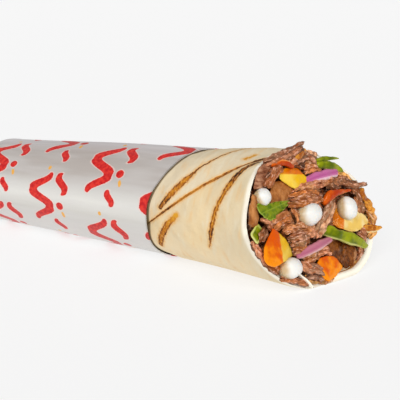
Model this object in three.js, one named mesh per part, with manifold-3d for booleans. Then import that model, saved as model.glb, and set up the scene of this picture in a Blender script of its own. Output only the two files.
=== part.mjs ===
// A gyro wrap lying on its side: a flatbread rolled round grilled beef, peppers, onion and
// sauce, in a printed paper sleeve that leaves the open end bare.
// Millimetres. X runs along the roll towards the open end, Z is up, and the origin is on the
// flat of the sleeve that the roll rests on. Angles go round the roll from +Y over the top:
// 0 is the far side, 90 the top, 180 the near side and 270 the underside.
import * as THREE from 'three';
import { mergeVertices } from 'three/addons/utils/BufferGeometryUtils.js';
import Module from 'manifold-3d';

const wasm = await Module();
wasm.setup();

// ---------- Driving dimensions ----------
const CLEARANCE = 0.3; // air between two pieces that touch
const ROLL = {
  radius: 27.1, // of the outer face at x = 0
  taper: 0.0344, // growth of the radius for each millimetre along X
  flareFrom: 35, // where the mouth starts to open
  flare: 0.0024, // and how fast
  widenFrom: 10, // from here the roll spreads sideways
  widenOver: 80,
  widening: 0.196,
  flat: 0.8, // how far the roll is pressed flat against the table
  sagFrom: 15, // the loaded mouth sinks further
  sagOver: 70,
  sag: 1.14,
};
const TAIL = { x: -130, shoulder: -112.5, lean: 9.5, pleats: 9, pleatDepth: 1.1, slack: 1.8 };
const RIM = { x: 74.5, cos: 10, sin: -13.9, cos2: -0.35, sin2: -2.63, wave: 0.7, curl: 1.3, curlOver: 5 };
const PAPER = { thickness: 0.8, x: 15.9, cos: 11, sin: 4.56, wave: 0.5, easeOver: 18, columns: 40 };
const BREAD = {
  thickness: 2.2,
  start: -122, // inner end of the sheet, low on the near side
  lift: 4.2, // how far that end stands up into the filling
  liftOver: 22,
  flapAtRim: 105, // free outer edge at flapX, from where it runs down round the near side
  flapX: 60,
  flapSlope: 1.56, // degrees for each millimetre back from flapX
  flapLast: 205,
  easeOver: 55, // degrees over which the sheet comes out from under the flap
  relief: 0.3,
  step: 12, // degrees between columns, so that the columns of both laps meet
  evenColumns: 46,
  flapColumns: 8, // spread over what is left up to the free edge
};
const FACE = { height: 32, recess: 3.5, dome: 4, reach: 40, crag: 1 };
const CORE = { columns: 30, tail: 24, front: 1.94 }; // the columns meet those of the bread
const BEEF = { count: 24, seed: 5, sides: 5, steps: 3, keep: 0.55 };

// ---------- Small tools ----------
const radians = THREE.MathUtils.degToRad;
const lerp = THREE.MathUtils.lerp;
const ease = (value, from, over) => THREE.MathUtils.smoothstep(value, from, from + over);
const vector = (x, y, z) => new THREE.Vector3(x, y, z);

function seededRandom(seed) {
  let state = seed;
  return () => {
    state = (state * 1664525 + 1013904223) % 4294967296;
    return state / 4294967296;
  };
}

// A closed geometry from points and triangles, turned so that its faces point out
function closedGeometry(points, triangles) {
  let volume = 0;
  for (const [a, b, c] of triangles) {
    volume += points[a].dot(vector(0, 0, 0).crossVectors(points[b], points[c]));
  }
  const index = triangles.flatMap(([a, b, c]) => (volume > 0 ? [a, b, c] : [a, c, b]));
  const geometry = new THREE.BufferGeometry().setFromPoints(points);
  geometry.setIndex(index);
  return geometry;
}

// A solid skinned over rings of points, closed at each end by a middle point
function skinned(rings, firstMiddle, lastMiddle) {
  const count = rings[0].length;
  const points = [...rings.flat(), firstMiddle, lastMiddle];
  const triangles = [];
  const first = points.length - 2;
  const last = points.length - 1;
  const start = (rings.length - 1) * count;
  for (let i = 0; i < count; i++) {
    const next = (i + 1) % count;
    for (let row = 0; row < rings.length - 1; row++) {
      const a = row * count;
      const b = a + count;
      triangles.push([a + i, a + next, b + i], [a + next, b + next, b + i]);
    }
    triangles.push([first, next, i], [last, start + i, start + next]);
  }
  return closedGeometry(points, triangles);
}

// A thin solid between two grids of points, with both faces split into triangles alike
function sheet(outer, inner, closedRound = false) {
  const rows = outer.length;
  const columns = outer[0].length;
  const points = [...outer.flat(), ...inner.flat()];
  const back = rows * columns;
  const triangles = [];
  const quad = (a, b, c, d) => triangles.push([a, b, c], [a, c, d]);
  const spans = closedRound ? columns : columns - 1;
  for (let j = 0; j < spans; j++) {
    const next = (j + 1) % columns;
    for (let i = 0; i < rows - 1; i++) {
      const a = i * columns;
      const b = a + columns;
      quad(a + j, a + next, b + next, b + j);
      quad(back + b + j, back + b + next, back + a + next, back + a + j);
    }
    const last = (rows - 1) * columns;
    quad(last + j, last + next, back + last + next, back + last + j);
    quad(next, j, back + j, back + next);
  }
  if (!closedRound) {
    for (let i = 0; i < rows - 1; i++) {
      const a = i * columns;
      const b = a + columns;
      const e = columns - 1;
      quad(a, b, back + b, back + a);
      quad(b + e, a + e, back + a + e, back + b + e);
    }
  }
  return closedGeometry(points, triangles);
}

// A Manifold solid of a closed geometry
function solid(geometry) {
  const bare = geometry.clone();
  bare.deleteAttribute('normal');
  bare.deleteAttribute('uv');
  const merged = mergeVertices(bare, 0.0005);
  const index = [];
  const corners = merged.index.array;
  for (let i = 0; i < corners.length; i += 3) {
    const [a, b, c] = corners.slice(i, i + 3);
    if (a !== b && b !== c && c !== a) index.push(a, b, c);
  }
  const vertProperties = new Float32Array(merged.attributes.position.array);
  return new wasm.Manifold(new wasm.Mesh({ numProp: 3, vertProperties, triVerts: new Uint32Array(index) }));
}

// The largest body of a cut solid
function largest(manifold) {
  const bodies = manifold.decompose();
  return bodies.reduce((best, body) => (body.volume() > best.volume() ? body : best), bodies[0]);
}

// Puts a solid in the group as a named mesh with its own material
const wrap = new THREE.Group();
function addNode(name, manifold, color, roughness) {
  const mesh = manifold.getMesh();
  const geometry = new THREE.BufferGeometry();
  geometry.setAttribute('position', new THREE.BufferAttribute(new Float32Array(mesh.vertProperties), 3));
  geometry.setIndex(new THREE.BufferAttribute(new Uint32Array(mesh.triVerts), 1));
  geometry.computeVertexNormals();
  const material = new THREE.MeshStandardMaterial({ color, roughness, metalness: 0 });
  const node = new THREE.Mesh(geometry, material);
  node.name = name;
  wrap.add(node);
}

// ---------- The form of the roll ----------
const radiusAt = (x) => ROLL.radius + ROLL.taper * x + ROLL.flare * Math.max(0, x - ROLL.flareFrom) ** 2;
const wideAt = (x) => 1 + ROLL.widening * ease(x, ROLL.widenFrom, ROLL.widenOver);
const sinkAt = (x) => ROLL.flat + ROLL.sag * ease(x, ROLL.sagFrom, ROLL.sagOver);
const shoulderAt = (angle) => TAIL.shoulder + TAIL.lean * Math.sin(angle);

function rimAt(angle) {
  return RIM.x + RIM.cos * Math.cos(angle) + RIM.sin * Math.sin(angle)
    + RIM.cos2 * Math.cos(2 * angle) + RIM.sin2 * Math.sin(2 * angle)
    + RIM.wave * Math.sin(5 * angle + 1);
}

function paperEdgeAt(angle) {
  return PAPER.x + PAPER.cos * Math.cos(angle) + PAPER.sin * Math.sin(angle)
    + PAPER.wave * Math.sin(6 * angle);
}

// Slow waves in the outer face, none where it lies on the table, and pleats in the tucked tail
function reliefAt(x, angle, bend) {
  const wave = Math.sin(0.05 * x + 2 * angle) + Math.sin(0.035 * x - 3 * angle + 2);
  const pleat = Math.sin(2 * bend) * Math.sin(TAIL.pleats * angle + 0.8 * Math.sin(angle));
  const offTable = (1 + Math.sin(angle)) / 2;
  return BREAD.relief * wave * Math.cos(bend) * offTable + TAIL.pleatDepth * pleat;
}

// A station runs from -1 at the middle of the tail to 0 at its shoulder, 1 at the first of the
// stops along the roll and 2 at the next
function stationAt(along, angle, ...stops) {
  const ends = [shoulderAt(angle), ...stops];
  if (along < 0) return { x: ends[0], bend: -along * Math.PI / 2 };
  const span = Math.min(Math.floor(along), stops.length - 1);
  return { x: lerp(ends[span], ends[span + 1], along - span), bend: 0 };
}

// A point of the roll at a station, round by an angle and under the outer face by a depth
function rollPoint({ x, bend }, angle, depth) {
  const radius = radiusAt(x);
  const length = shoulderAt(angle) - TAIL.x;
  const normal = new THREE.Vector2(-Math.sin(bend) / length, Math.cos(bend) / radius).normalize();
  const out = (radius + reliefAt(x, angle, bend)) * Math.cos(bend);
  const across = out * wideAt(x) - depth * normal.y;
  const up = radius - sinkAt(x) + (out - depth * normal.y) * Math.sin(angle);
  const along = x - length * Math.sin(bend) - depth * normal.x;
  return vector(along, across * Math.cos(angle), Math.max(up, depth));
}

// How deep the bread lies: under the paper, slack in the tail and turned in at the rim
function coverAt({ x, bend }, angle) {
  const paper = (PAPER.thickness + CLEARANCE) * (1 - ease(x, paperEdgeAt(angle), PAPER.easeOver));
  const curl = RIM.curl * ease(x, rimAt(angle) - RIM.curlOver, 2 * RIM.curlOver);
  return paper + curl + TAIL.slack * Math.sin(bend);
}

const layer = BREAD.thickness + CLEARANCE;
const flapAt = (x) => Math.min(BREAD.flapAtRim + BREAD.flapSlope * (BREAD.flapX - x), BREAD.flapLast);

// Depth of the sheet at a turn: one layer down where the flap covers it, and lifted at its inner end
function lapDepth(turn, x) {
  const secondLap = BREAD.start + 360 - 8;
  if (turn >= secondLap) return 0;
  const flap = flapAt(x);
  const covered = 1 - ease(turn, flap, Math.min(BREAD.easeOver, secondLap - flap));
  return layer * covered + BREAD.lift * (1 - ease(turn, BREAD.start, BREAD.liftOver));
}

// ---------- Paper sleeve ----------
const coveredStations = [0, 0.2, 0.4, 0.6, 0.8, 1];

function paperSleeve() {
  const angles = Array.from({ length: PAPER.columns }, (_, j) => (2 * Math.PI * j) / PAPER.columns);
  const stations = [-1, -0.75, -0.5, -0.25, ...coveredStations];
  const pointAt = (along, angle, depth) => (
    rollPoint(stationAt(along, angle, paperEdgeAt(angle)), angle, depth));
  const face = (depth) => stations.map((along) => angles.map((angle) => pointAt(along, angle, depth)));
  return solid(sheet(face(0), face(PAPER.thickness), true));
}

// ---------- Flatbread ----------
const breadStation = (along, angle, grow = 0) => (
  stationAt(along, angle, paperEdgeAt(angle) + 1, rimAt(angle) + grow));

// One sheet rolled round more than once, from its inner end to the free edge of the flap
function flatbread(grow) {
  const stations = [-0.4, -0.2, ...coveredStations, 1.25, 1.5, 1.7, 1.85, 1.94, 2];
  const slip = 2 * grow;
  const face = (depth) => stations.map((along) => {
    let last = 360 + BREAD.flapAtRim;
    for (let step = 0; step < 8; step++) last = 360 + flapAt(breadStation(along, radians(last), grow).x);
    return Array.from({ length: BREAD.evenColumns + BREAD.flapColumns + 1 }, (_, j) => {
      const even = BREAD.start + BREAD.step * Math.min(j, BREAD.evenColumns);
      const turn = lerp(even, last + slip, Math.max(0, j - BREAD.evenColumns) / BREAD.flapColumns);
      const angle = radians(j === 0 ? turn - slip : turn);
      const station = breadStation(along, angle, grow);
      return rollPoint(station, angle, coverAt(station, angle) + lapDepth(turn, station.x) + depth);
    });
  });
  return solid(sheet(face(-grow), face(BREAD.thickness + grow)));
}

const bread = flatbread(0);
const breadRoom = flatbread(CLEARANCE);

// ---------- The face of the filling ----------
// Places on it are given as h across, v up and out, in a frame on the plane of the rim
const rimRadius = radiusAt(RIM.x);
const faceOut = vector(1, -RIM.cos / (rimRadius * wideAt(RIM.x)), -RIM.sin / rimRadius).normalize();
const faceAcross = vector(-faceOut.y, faceOut.x, 0).normalize();
const faceUp = vector(0, 0, 0).crossVectors(faceOut, faceAcross);
const faceCentre = vector(RIM.x, 0, FACE.height);
const faceFrame = new THREE.Matrix4().makeBasis(faceAcross, faceUp, faceOut).setPosition(faceCentre);
const facePoint = (h, v, out) => vector(h, v, out).applyMatrix4(faceFrame);

// The bare core's own front: a low dome with crags
function frontOf(h, v) {
  const dome = FACE.dome * (1 - (h * h + v * v) / FACE.reach ** 2);
  const crag = FACE.crag * (Math.sin(0.55 * h + 0.3 * v) + Math.sin(0.7 * v - 0.25 * h + 1));
  return dome - FACE.recess + crag;
}

// The bare core lies against the inner face of the bread and steps over its lifted inner end
function fillingCore(grow) {
  const stations = [0.06, ...coveredStations.slice(1), 1.25, 1.5, 1.7, 1.85, CORE.front];
  const turns = Array.from({ length: CORE.columns }, (_, j) => BREAD.start + (360 * j) / CORE.columns);
  const side = (along, turn) => {
    const angle = radians(turn);
    const station = breadStation(along, angle, grow);
    const inside = coverAt(station, angle) + lapDepth(turn, station.x) + layer;
    return rollPoint(station, angle, inside + CLEARANCE - grow);
  };
  const rings = stations.map((along) => turns.map((turn) => side(along, turn)));
  const toFace = faceFrame.clone().invert();
  for (const inward of [0.18, 0.42, 0.7]) {
    rings.push(turns.map((turn) => {
      const edge = side(CORE.front, turn).applyMatrix4(toFace);
      const h = edge.x * (1 - inward);
      const v = edge.y * (1 - inward);
      return facePoint(h, v, lerp(edge.z, frontOf(h, v) + grow, Math.min(1, 2.2 * inward)));
    }));
  }
  const tail = vector(TAIL.x + CORE.tail, 0, ROLL.radius + ROLL.taper * TAIL.x);
  return solid(skinned(rings, tail, facePoint(0, 0, frontOf(0, 0) + grow)));
}

// ---------- Shapes of the pieces of filling ----------
// A strip from one place to another: wide and thin, bowed outwards, narrow at its ends
function strip({ from, to, wide, thick, bow = 1, roll = 0, blunt = 0.5, steps = 4 }, grow = 0, sides = 6) {
  const start = facePoint(...from);
  const end = facePoint(...to);
  const tangent = end.clone().sub(start).normalize();
  start.addScaledVector(tangent, -grow);
  end.addScaledVector(tangent, grow);
  const side = vector(0, 0, 0).crossVectors(faceOut, tangent).normalize();
  const top = vector(0, 0, 0).crossVectors(tangent, side);
  side.applyAxisAngle(tangent, radians(roll));
  const lift = top.clone();
  top.applyAxisAngle(tangent, radians(roll));
  const middleAt = (t) => start.clone().lerp(end, t).addScaledVector(lift, bow * 4 * t * (1 - t));
  const rings = Array.from({ length: steps + 1 }, (_, i) => {
    const t = lerp(0.04, 0.96, i / steps);
    const full = lerp(blunt, 1, Math.sin(Math.PI * t) ** 0.5) * (1 + 0.12 * Math.sin(5 * t + roll));
    return Array.from({ length: sides }, (_, j) => {
      const angle = (2 * Math.PI * j) / sides;
      const uneven = 1 + 0.1 * Math.sin(3 * angle + 4 * t + wide);
      return middleAt(t)
        .addScaledVector(side, (wide / 2) * full * uneven * Math.cos(angle) + grow * Math.cos(angle))
        .addScaledVector(top, (thick / 2) * full * uneven * Math.sin(angle) + grow * Math.sin(angle));
    });
  });
  return solid(skinned(rings, middleAt(0), middleAt(1)));
}

// A chunk with rounded corners: size across, up and out, spun in the face and turned about v and h
function chunk({ at, size, spin = 0, turn = 0, tip = 0, arch = 0.6, round = 0.35 }, grow = 0) {
  const geometry = new THREE.BoxGeometry(1, 1, 1, 3, 3, 1);
  const place = new THREE.Matrix4().makeRotationFromEuler(
    new THREE.Euler(radians(tip), radians(turn), radians(spin), 'ZYX'),
  );
  const position = geometry.attributes.position;
  for (let i = 0; i < position.count; i++) {
    const p = vector(0, 0, 0).fromBufferAttribute(position, i).multiplyScalar(2);
    const pull = 1 - round * 0.5 * (Math.abs(p.x * p.y) + Math.abs(p.y * p.z) + Math.abs(p.z * p.x)) / 3;
    const skew = 1 + 0.07 * Math.sin(2.3 * p.x + 1.7 * p.y + at[0]);
    p.multiplyScalar(pull * skew);
    p.set(p.x * (size[0] / 2 + grow), p.y * (size[1] / 2 + grow), p.z * (size[2] / 2 + grow));
    p.z += arch * (1 - (2 * p.x / size[0]) ** 2);
    p.applyMatrix4(place).add(vector(...at)).applyMatrix4(faceFrame);
    position.setXYZ(i, p.x, p.y, p.z);
  }
  return solid(geometry);
}

// A dollop of thick sauce
function dollop({ at, radii, spin = 0 }, grow = 0) {
  const geometry = new THREE.SphereGeometry(1, 12, 8);
  const position = geometry.attributes.position;
  const turned = new THREE.Matrix4().makeRotationZ(radians(spin));
  for (let i = 0; i < position.count; i++) {
    const p = vector(0, 0, 0).fromBufferAttribute(position, i);
    const uneven = 1 + 0.06 * Math.sin(2.5 * p.x + 2 * p.y + at[0]) * Math.cos(2 * p.z);
    p.multiplyScalar(uneven);
    p.set(p.x * (radii[0] + grow), p.y * (radii[1] + grow), p.z * (radii[2] + grow));
    p.applyMatrix4(turned).add(vector(...at)).applyMatrix4(faceFrame);
    position.setXYZ(i, p.x, p.y, p.z);
  }
  return solid(geometry);
}

// A thin wavy leaf, wide in its middle
function leaf({ from, to, wide, thick, wave }, grow = 0) {
  const [steps, across] = [7, 4];
  const start = vector(...from);
  const axis = vector(...to).sub(start);
  const sideways = vector(-axis.y, axis.x, 0).normalize();
  const pointAt = (t, s, offset) => {
    const outline = 0.35 + 0.65 * Math.sin(Math.PI * (0.12 + 0.76 * t));
    const half = (wide / 2) * outline * (1 + 0.12 * Math.sin(9 * t));
    const p = start.clone().addScaledVector(axis, t).addScaledVector(sideways, s * (half + grow));
    p.z += wave * (Math.sin(7 * t + 2 * s) - s * s) + offset;
    return p.applyMatrix4(faceFrame);
  };
  const row = (i, offset) => Array.from({ length: across + 1 }, (_, j) => (
    pointAt(i / steps, (2 * j) / across - 1, offset)));
  const face = (offset) => Array.from({ length: steps + 1 }, (_, i) => row(i, offset));
  return solid(sheet(face(thick / 2 + grow), face(-thick / 2 - grow)));
}

// ---------- Toppings ----------
// Each is fitted round those before it, the bread and the bare core
const ORANGE = 0xe8801c;
const YELLOW = 0xe9b93a;
const RED = 0xcf4a1e;
const GREEN = 0x6f9a22;
const WHITE = 0xf4f0e8;
const ONION = 0xb5568f;
const BROWN = 0x8c5634;
const TAN = 0xb98252;
const GLOSSY = 0.35;
const SOFT = 0.55;
const toppings = [
  ['sauce_dollop_middle', dollop, { at: [-1.5, -1.5, 3.5], radii: [6.2, 5.2, 5], spin: -8 }, WHITE, GLOSSY],
  ['sauce_dollop_left', dollop, { at: [-27.5, 10.5, 1.5], radii: [4, 3.9, 3.8], spin: 10 }, WHITE, GLOSSY],
  ['sauce_dollop_right', dollop, { at: [25, -3.5, 3], radii: [4.8, 6, 4.4], spin: -12 }, WHITE, GLOSSY],
  ['sauce_dollop_low', dollop, { at: [-20.5, -22, 1], radii: [5.6, 4.7, 4.4], spin: -10 }, WHITE, GLOSSY],
  ['herb_leaf', leaf,
    { from: [-34, 4, 2], to: [-15.5, 5.5, 3], wide: 8.5, thick: 0.9, wave: 0.7 },
    GREEN, SOFT],
  ['onion_strip_upper', strip,
    { from: [1.5, 13, 1.5], to: [24, 13, 1.5], wide: 5.2, thick: 2.4,
      bow: 1.8, roll: 12, blunt: 0.85, steps: 6 },
    ONION, GLOSSY],
  ['onion_strip_lower', strip,
    { from: [-18, -18, 1.5], to: [9.5, -15.5, 2], wide: 4.6, thick: 2.2,
      bow: 1, roll: 12, blunt: 0.7, steps: 6 },
    ONION, GLOSSY],
  ['pepper_strip_green_lower', strip,
    { from: [1, -9.5, 0], to: [31.5, -24, 1], wide: 7, thick: 2.6, bow: 2, roll: 8, blunt: 0.7, steps: 7 },
    GREEN, GLOSSY],
  ['pepper_strip_green_upper', strip,
    { from: [8.5, 20.5, 1], to: [30, 12.5, 1.5], wide: 5.4, thick: 2.6,
      bow: 2.5, roll: 15, blunt: 0.6, steps: 6 },
    GREEN, GLOSSY],
  ['pepper_tip_green_upper', strip,
    { from: [14, 22, 1], to: [27, 20, 3], wide: 4, thick: 2, bow: 0.8, roll: 10, blunt: 0.4 }, GREEN, GLOSSY],
  ['pepper_piece_green_left', chunk,
    { at: [-34, -2.5, 0], size: [7.5, 8.5, 2.6], spin: 50, turn: -20, arch: 0.8, round: 0.5 }, GREEN, GLOSSY],
  ['pepper_strip_red_top', strip,
    { from: [-21, 22.5, 0.5], to: [-2, 20.5, 1], wide: 4.4, thick: 2,
      bow: 2.2, roll: 35, blunt: 0.5, steps: 5 },
    RED, GLOSSY],
  ['pepper_strip_red_right', strip,
    { from: [9, 0, 2], to: [30, 5.5, 1], wide: 5.6, thick: 2.4, bow: 2.6, roll: 10, blunt: 0.6, steps: 5 },
    RED, GLOSSY],
  ['pepper_chunk_yellow', chunk,
    { at: [-3.5, 16, 0], size: [15.5, 8.5, 8], spin: -17, tip: 14, arch: 0.6 }, YELLOW, GLOSSY],
  ['pepper_chunk_left', chunk,
    { at: [-25.5, -11.5, -1], size: [11, 15, 9.5], spin: 8, turn: -44, arch: 0.4 }, ORANGE, GLOSSY],
  ['pepper_chunk_right', chunk,
    { at: [26, -11.5, -1.5], size: [19, 10.5, 8], spin: -12, turn: -8, arch: 0.6 }, YELLOW, GLOSSY],
  ['pepper_chunk_low', chunk,
    { at: [3.5, -27.5, -0.5], size: [15.5, 11, 7], spin: -14, turn: -14, arch: 0.8 }, ORANGE, GLOSSY],
  ['beef_strip_under_end', strip,
    { from: [-27, -24, -1.5], to: [-9, -32.5, -1.5], wide: 4.6, thick: 4,
      bow: 0.5, blunt: 0.4 },
    BROWN, SOFT],
  ['pepper_bit_orange_top', strip,
    { from: [-1, 24, 1], to: [8.5, 25.5, 2], wide: 4.6, thick: 2.4,
      bow: 0.8, roll: 30, blunt: 0.6 },
    ORANGE, GLOSSY],
  ['pepper_strip_orange_right', strip,
    { from: [34, -8, 0.5], to: [43, -19, 4.5], wide: 6, thick: 2.4,
      bow: 0.8, roll: -5, blunt: 0.3 },
    ORANGE, GLOSSY],
  ['beef_slice_top', chunk,
    { at: [-20.5, 18.5, -0.5], size: [17, 9, 3.6], spin: 26, turn: -16, arch: 0.8, round: 0.5 }, BROWN, SOFT],
  ['beef_slice_middle', chunk,
    { at: [-13, 10.5, 0.5], size: [13.5, 11, 4], spin: 22, turn: -18, arch: 1, round: 0.5 }, TAN, SOFT],
  ['beef_slice_left', strip,
    { from: [-30.5, 14, -0.5], to: [-35.5, -1, -0.5], wide: 6.4, thick: 2.8,
      bow: 1, roll: -15, blunt: 0.7, steps: 5 },
    TAN, SOFT],
  ['beef_slice_low', chunk,
    { at: [17.5, -24.5, -1], size: [20, 11, 5], spin: -22, turn: -6, arch: 1, round: 0.5 }, BROWN, GLOSSY],
  ['pepper_band_right', strip,
    { from: [32, 4.5, 1], to: [37, -8, 1], wide: 5.5, thick: 2,
      bow: 1.6, roll: -10, blunt: 0.6, steps: 5 },
    TAN, GLOSSY],
];

function fittedToppings(core) {
  const cleared = [breadRoom, core];
  const fitted = [];
  for (const [name, build, spec, color, roughness] of toppings) {
    let piece = build(spec);
    for (const room of cleared) piece = piece.subtract(room);
    fitted.push({ name, piece: largest(piece), color, roughness });
    cleared.push(build(spec, CLEARANCE));
  }
  return { fitted, rooms: cleared.slice(2) };
}

// ---------- Beef ----------
// Strips placed one by one, then seeded ones between them; all are fused on the core
const beefStrips = [
  { from: [-21, 25, 0], to: [-4, 26.5, 1.5], wide: 5, thick: 3, bow: 1.2, roll: 15 },
  { from: [-9, 25, 0.5], to: [8.5, 27, 3], wide: 4.6, thick: 3, bow: 1, roll: -10 },
  { from: [1, 22, 0], to: [15, 15.5, 0.5], wide: 5, thick: 3.2, bow: 1.5, roll: 20 },
  { from: [-10, 21.5, 1], to: [-21.5, 15.5, 1.5], wide: 3.6, thick: 2.6, bow: 1.2, roll: 0 },
  { from: [-13.5, 5, 0.5], to: [11, 3.5, 2.5], wide: 4.6, thick: 3.4, bow: 1.8, roll: -12 },
  { from: [-11, 8.5, 0], to: [14.5, 7.5, 2], wide: 4.8, thick: 3.4, bow: 1.5, roll: 10 },
  { from: [-3, 11.5, 0], to: [17, 9.5, 1], wide: 4.6, thick: 3, bow: 1, roll: 25 },
  { from: [24, 13.5, -0.5], to: [32, 7, 0.5], wide: 5, thick: 3, bow: 1.2, roll: 12 },
  { from: [27, 7.5, 0.5], to: [42, 3.5, 4], wide: 5, thick: 2.8, bow: 1.2, roll: 8, blunt: 0.25 },
  { from: [15, 0.5, 1.5], to: [-3.5, -12, 2], wide: 4.8, thick: 3.4, bow: 2, roll: 5 },
  { from: [-27, -2, 0], to: [-11, 1, 1.5], wide: 5, thick: 3.2, bow: 1.2, roll: -8 },
  { from: [-22, -5, -0.5], to: [-6, -4.5, 1], wide: 5, thick: 3.4, bow: 1.5, roll: 10 },
  { from: [-19, -9, 0], to: [-3, -8.5, 1], wide: 5, thick: 3.4, bow: 1.2, roll: -6 },
  { from: [-19, -13, 0], to: [-2, -13.5, 1], wide: 4.6, thick: 3.2, bow: 1.2, roll: 14 },
  { from: [-14, -21, 0.5], to: [0, -29, 0], wide: 5.6, thick: 3, bow: 1.2, roll: 0 },
  { from: [-31, -15, -1], to: [-36, -6, -1], wide: 4.6, thick: 3, bow: 0.8, roll: 0 },
  { from: [35, -21, -1], to: [27, -28.5, -1], wide: 5, thick: 3, bow: 0.8, roll: 0 },
  { from: [12, -32, -1.5], to: [26, -29.5, -1], wide: 4.4, thick: 2.6, bow: 0.6, roll: 0 },
  { from: [37, -3, 0.5], to: [38, -15, 0.5], wide: 4.6, thick: 3, bow: 0.8, roll: 0 },
];

function seededStrips() {
  const random = seededRandom(BEEF.seed);
  return Array.from({ length: BEEF.count }, (_, i) => {
    const spread = Math.sqrt((i + 0.5) / BEEF.count);
    const angle = i * Math.PI * (3 - Math.sqrt(5));
    const h = 2 + 37 * spread * Math.cos(angle);
    const v = -2 + 29 * spread * Math.sin(angle);
    const heading = 0.2 + 1.6 * (random() - 0.5);
    const half = 6 + 4 * random();
    const out = frontOf(h, v) + 0.3 + 1.2 * random();
    const [dh, dv] = [half * Math.cos(heading), half * Math.sin(heading)];
    return {
      from: [h - dh, v - dv, out],
      to: [h + dh, v + dv, out + 2 * (random() - 0.5)],
      wide: 4 + 1.6 * random(),
      thick: 2.6 + 0.8 * random(),
      bow: 1,
      roll: 50 * (random() - 0.5),
    };
  });
}

function filling(core, rooms) {
  let fused = core;
  for (const spec of [...beefStrips, ...seededStrips()]) {
    const whole = strip({ steps: BEEF.steps, ...spec }, 0, BEEF.sides);
    let piece = whole.subtract(breadRoom);
    for (const room of rooms) piece = piece.subtract(room);
    if (piece.volume() < BEEF.keep * whole.volume()) continue;
    fused = fused.add(largest(piece));
  }
  return largest(fused);
}

// ---------- The whole ----------
const core = fillingCore(0);
const { fitted, rooms } = fittedToppings(fillingCore(CLEARANCE));
addNode('paper_sleeve', paperSleeve(), 0xcfccc6, 0.45);
addNode('flatbread', bread, 0xead9b4, 0.8);
addNode('beef_filling', filling(core, rooms), 0x8a5a44, SOFT);
for (const { name, piece, color, roughness } of fitted) addNode(name, piece, color, roughness);

export default wrap;
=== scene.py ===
"""Looks of a gyro wrap: flatbread, printed paper sleeve, beef, peppers, onion, leaf and sauce.

Shapes are worked out in millimetres, in the frame and from the sizes of the CAD model, and go
into Blender in metres. X runs along the roll towards its open end and Z is up. Angles go round
the roll from +Y over the top: 0 is the far side, 90 the top, 180 the near side, 270 the underside.
"""
import math
from types import SimpleNamespace as Sizes

import bpy
import numpy as np
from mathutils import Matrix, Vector


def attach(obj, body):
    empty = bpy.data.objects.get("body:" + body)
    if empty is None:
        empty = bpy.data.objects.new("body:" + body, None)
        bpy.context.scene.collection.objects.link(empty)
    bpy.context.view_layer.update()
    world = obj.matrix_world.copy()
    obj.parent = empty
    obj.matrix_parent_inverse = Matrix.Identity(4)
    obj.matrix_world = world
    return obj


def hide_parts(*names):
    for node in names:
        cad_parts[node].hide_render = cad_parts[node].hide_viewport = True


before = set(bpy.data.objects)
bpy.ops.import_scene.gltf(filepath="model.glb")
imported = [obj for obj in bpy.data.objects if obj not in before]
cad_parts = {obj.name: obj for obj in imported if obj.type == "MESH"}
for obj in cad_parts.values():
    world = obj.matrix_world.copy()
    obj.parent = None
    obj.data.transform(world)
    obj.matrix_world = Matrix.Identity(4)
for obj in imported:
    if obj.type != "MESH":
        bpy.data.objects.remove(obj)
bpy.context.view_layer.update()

METRES = 0.001
TAU = 2 * math.pi

# ---------- Sizes in millimetres, most of them as in the CAD source ----------
CLEARANCE = 0.3
ROLL = Sizes(radius=27.1, taper=0.0344, flare_from=35, flare=0.0024, widen_from=10, widen_over=80,
             widening=0.196, flat=0.8, sag_from=15, sag_over=70, sag=1.14)
TAIL = Sizes(x=-130, shoulder=-112.5, lean=9.5, pleats=9, pleat_depth=1.1, slack=1.8)
RIM = Sizes(x=74.5, cos=10, sin=-13.9, cos2=-0.35, sin2=-2.63, wave=0.7, curl=1.3, curl_over=5)
PAPER = Sizes(room=0.8, thickness=0.35, x=15.9, cos=11, sin=4.56, wave=0.5, ease_over=9, tail_run=16)
BREAD = Sizes(thickness=2.2, start=-122, first_lap=352, lift=4.2, lift_over=22, flap_at_rim=105,
              flap_x=60, flap_slope=1.56, flap_last=205, relief=0.3)
# The lip of the bread is thicker, slants inwards but for where it is upright, at 60 degrees, and
# lies further back on the near side
LIP = Sizes(thicker=0.7, over=6, blunt=0.86, rounding=0.3, slant=2.0, slant_over=2.5, outer_share=0.3,
            upright=60, less_slant=1.2, near_back=1.4)
INNER_LAP = Sizes(short=4.5, until=80, over=20)  # under the flap the sheet stops short of the rim
FLAP = Sizes(thinner=1.1, thin_over=14, ease=24)  # the free edge is thin and lies close
CROWN = Sizes(x=45, over=22, height=0.8)  # where the free edge lifts the top a little
DIP = Sizes(angle=80, over=15, depth=2.2)  # where the top comes down to the filling at the rim
# The face of the filling: a recessed dome with crags, past which pieces are free to lean out
FACE = Sizes(height=32, recess=3.5, dome=4, reach=40, crag=1, lean_out=30, lean_from=-0.5, lean_over=5)
LAYER = BREAD.thickness + CLEARANCE


# ---------- Small tools ----------
def ease(value, start, over):
    """Rises smoothly from 0 at start to 1 that much further on."""
    t = np.clip((value - start) / over, 0, 1)
    return t * t * (3 - 2 * t)


def lerp(a, b, t):
    return a + (b - a) * t


def rounded(t, least=0.0):
    """Rises from 0 to 1 as a quarter of a circle does, from no less than least on."""
    return np.sqrt(1 - (1 - np.clip(t, least, 1)) ** 2)


def unit(vectors):
    return vectors / np.linalg.norm(vectors, axis=-1, keepdims=True)


def lumps(points, size, seed, octaves=2):
    """Uneven heights of about -1 to 1 at the points, with bumps about that far from dips."""
    random = np.random.default_rng(seed)
    height = np.zeros(points.shape[:-1])
    for octave in range(octaves):
        for _ in range(6):
            wave = unit(random.normal(size=3)) * random.uniform(0.7, 1.3) * 2**octave * math.pi / size
            height += np.sin(points @ wave + random.uniform(0, TAU)) / 2**octave
    return height / 3


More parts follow.
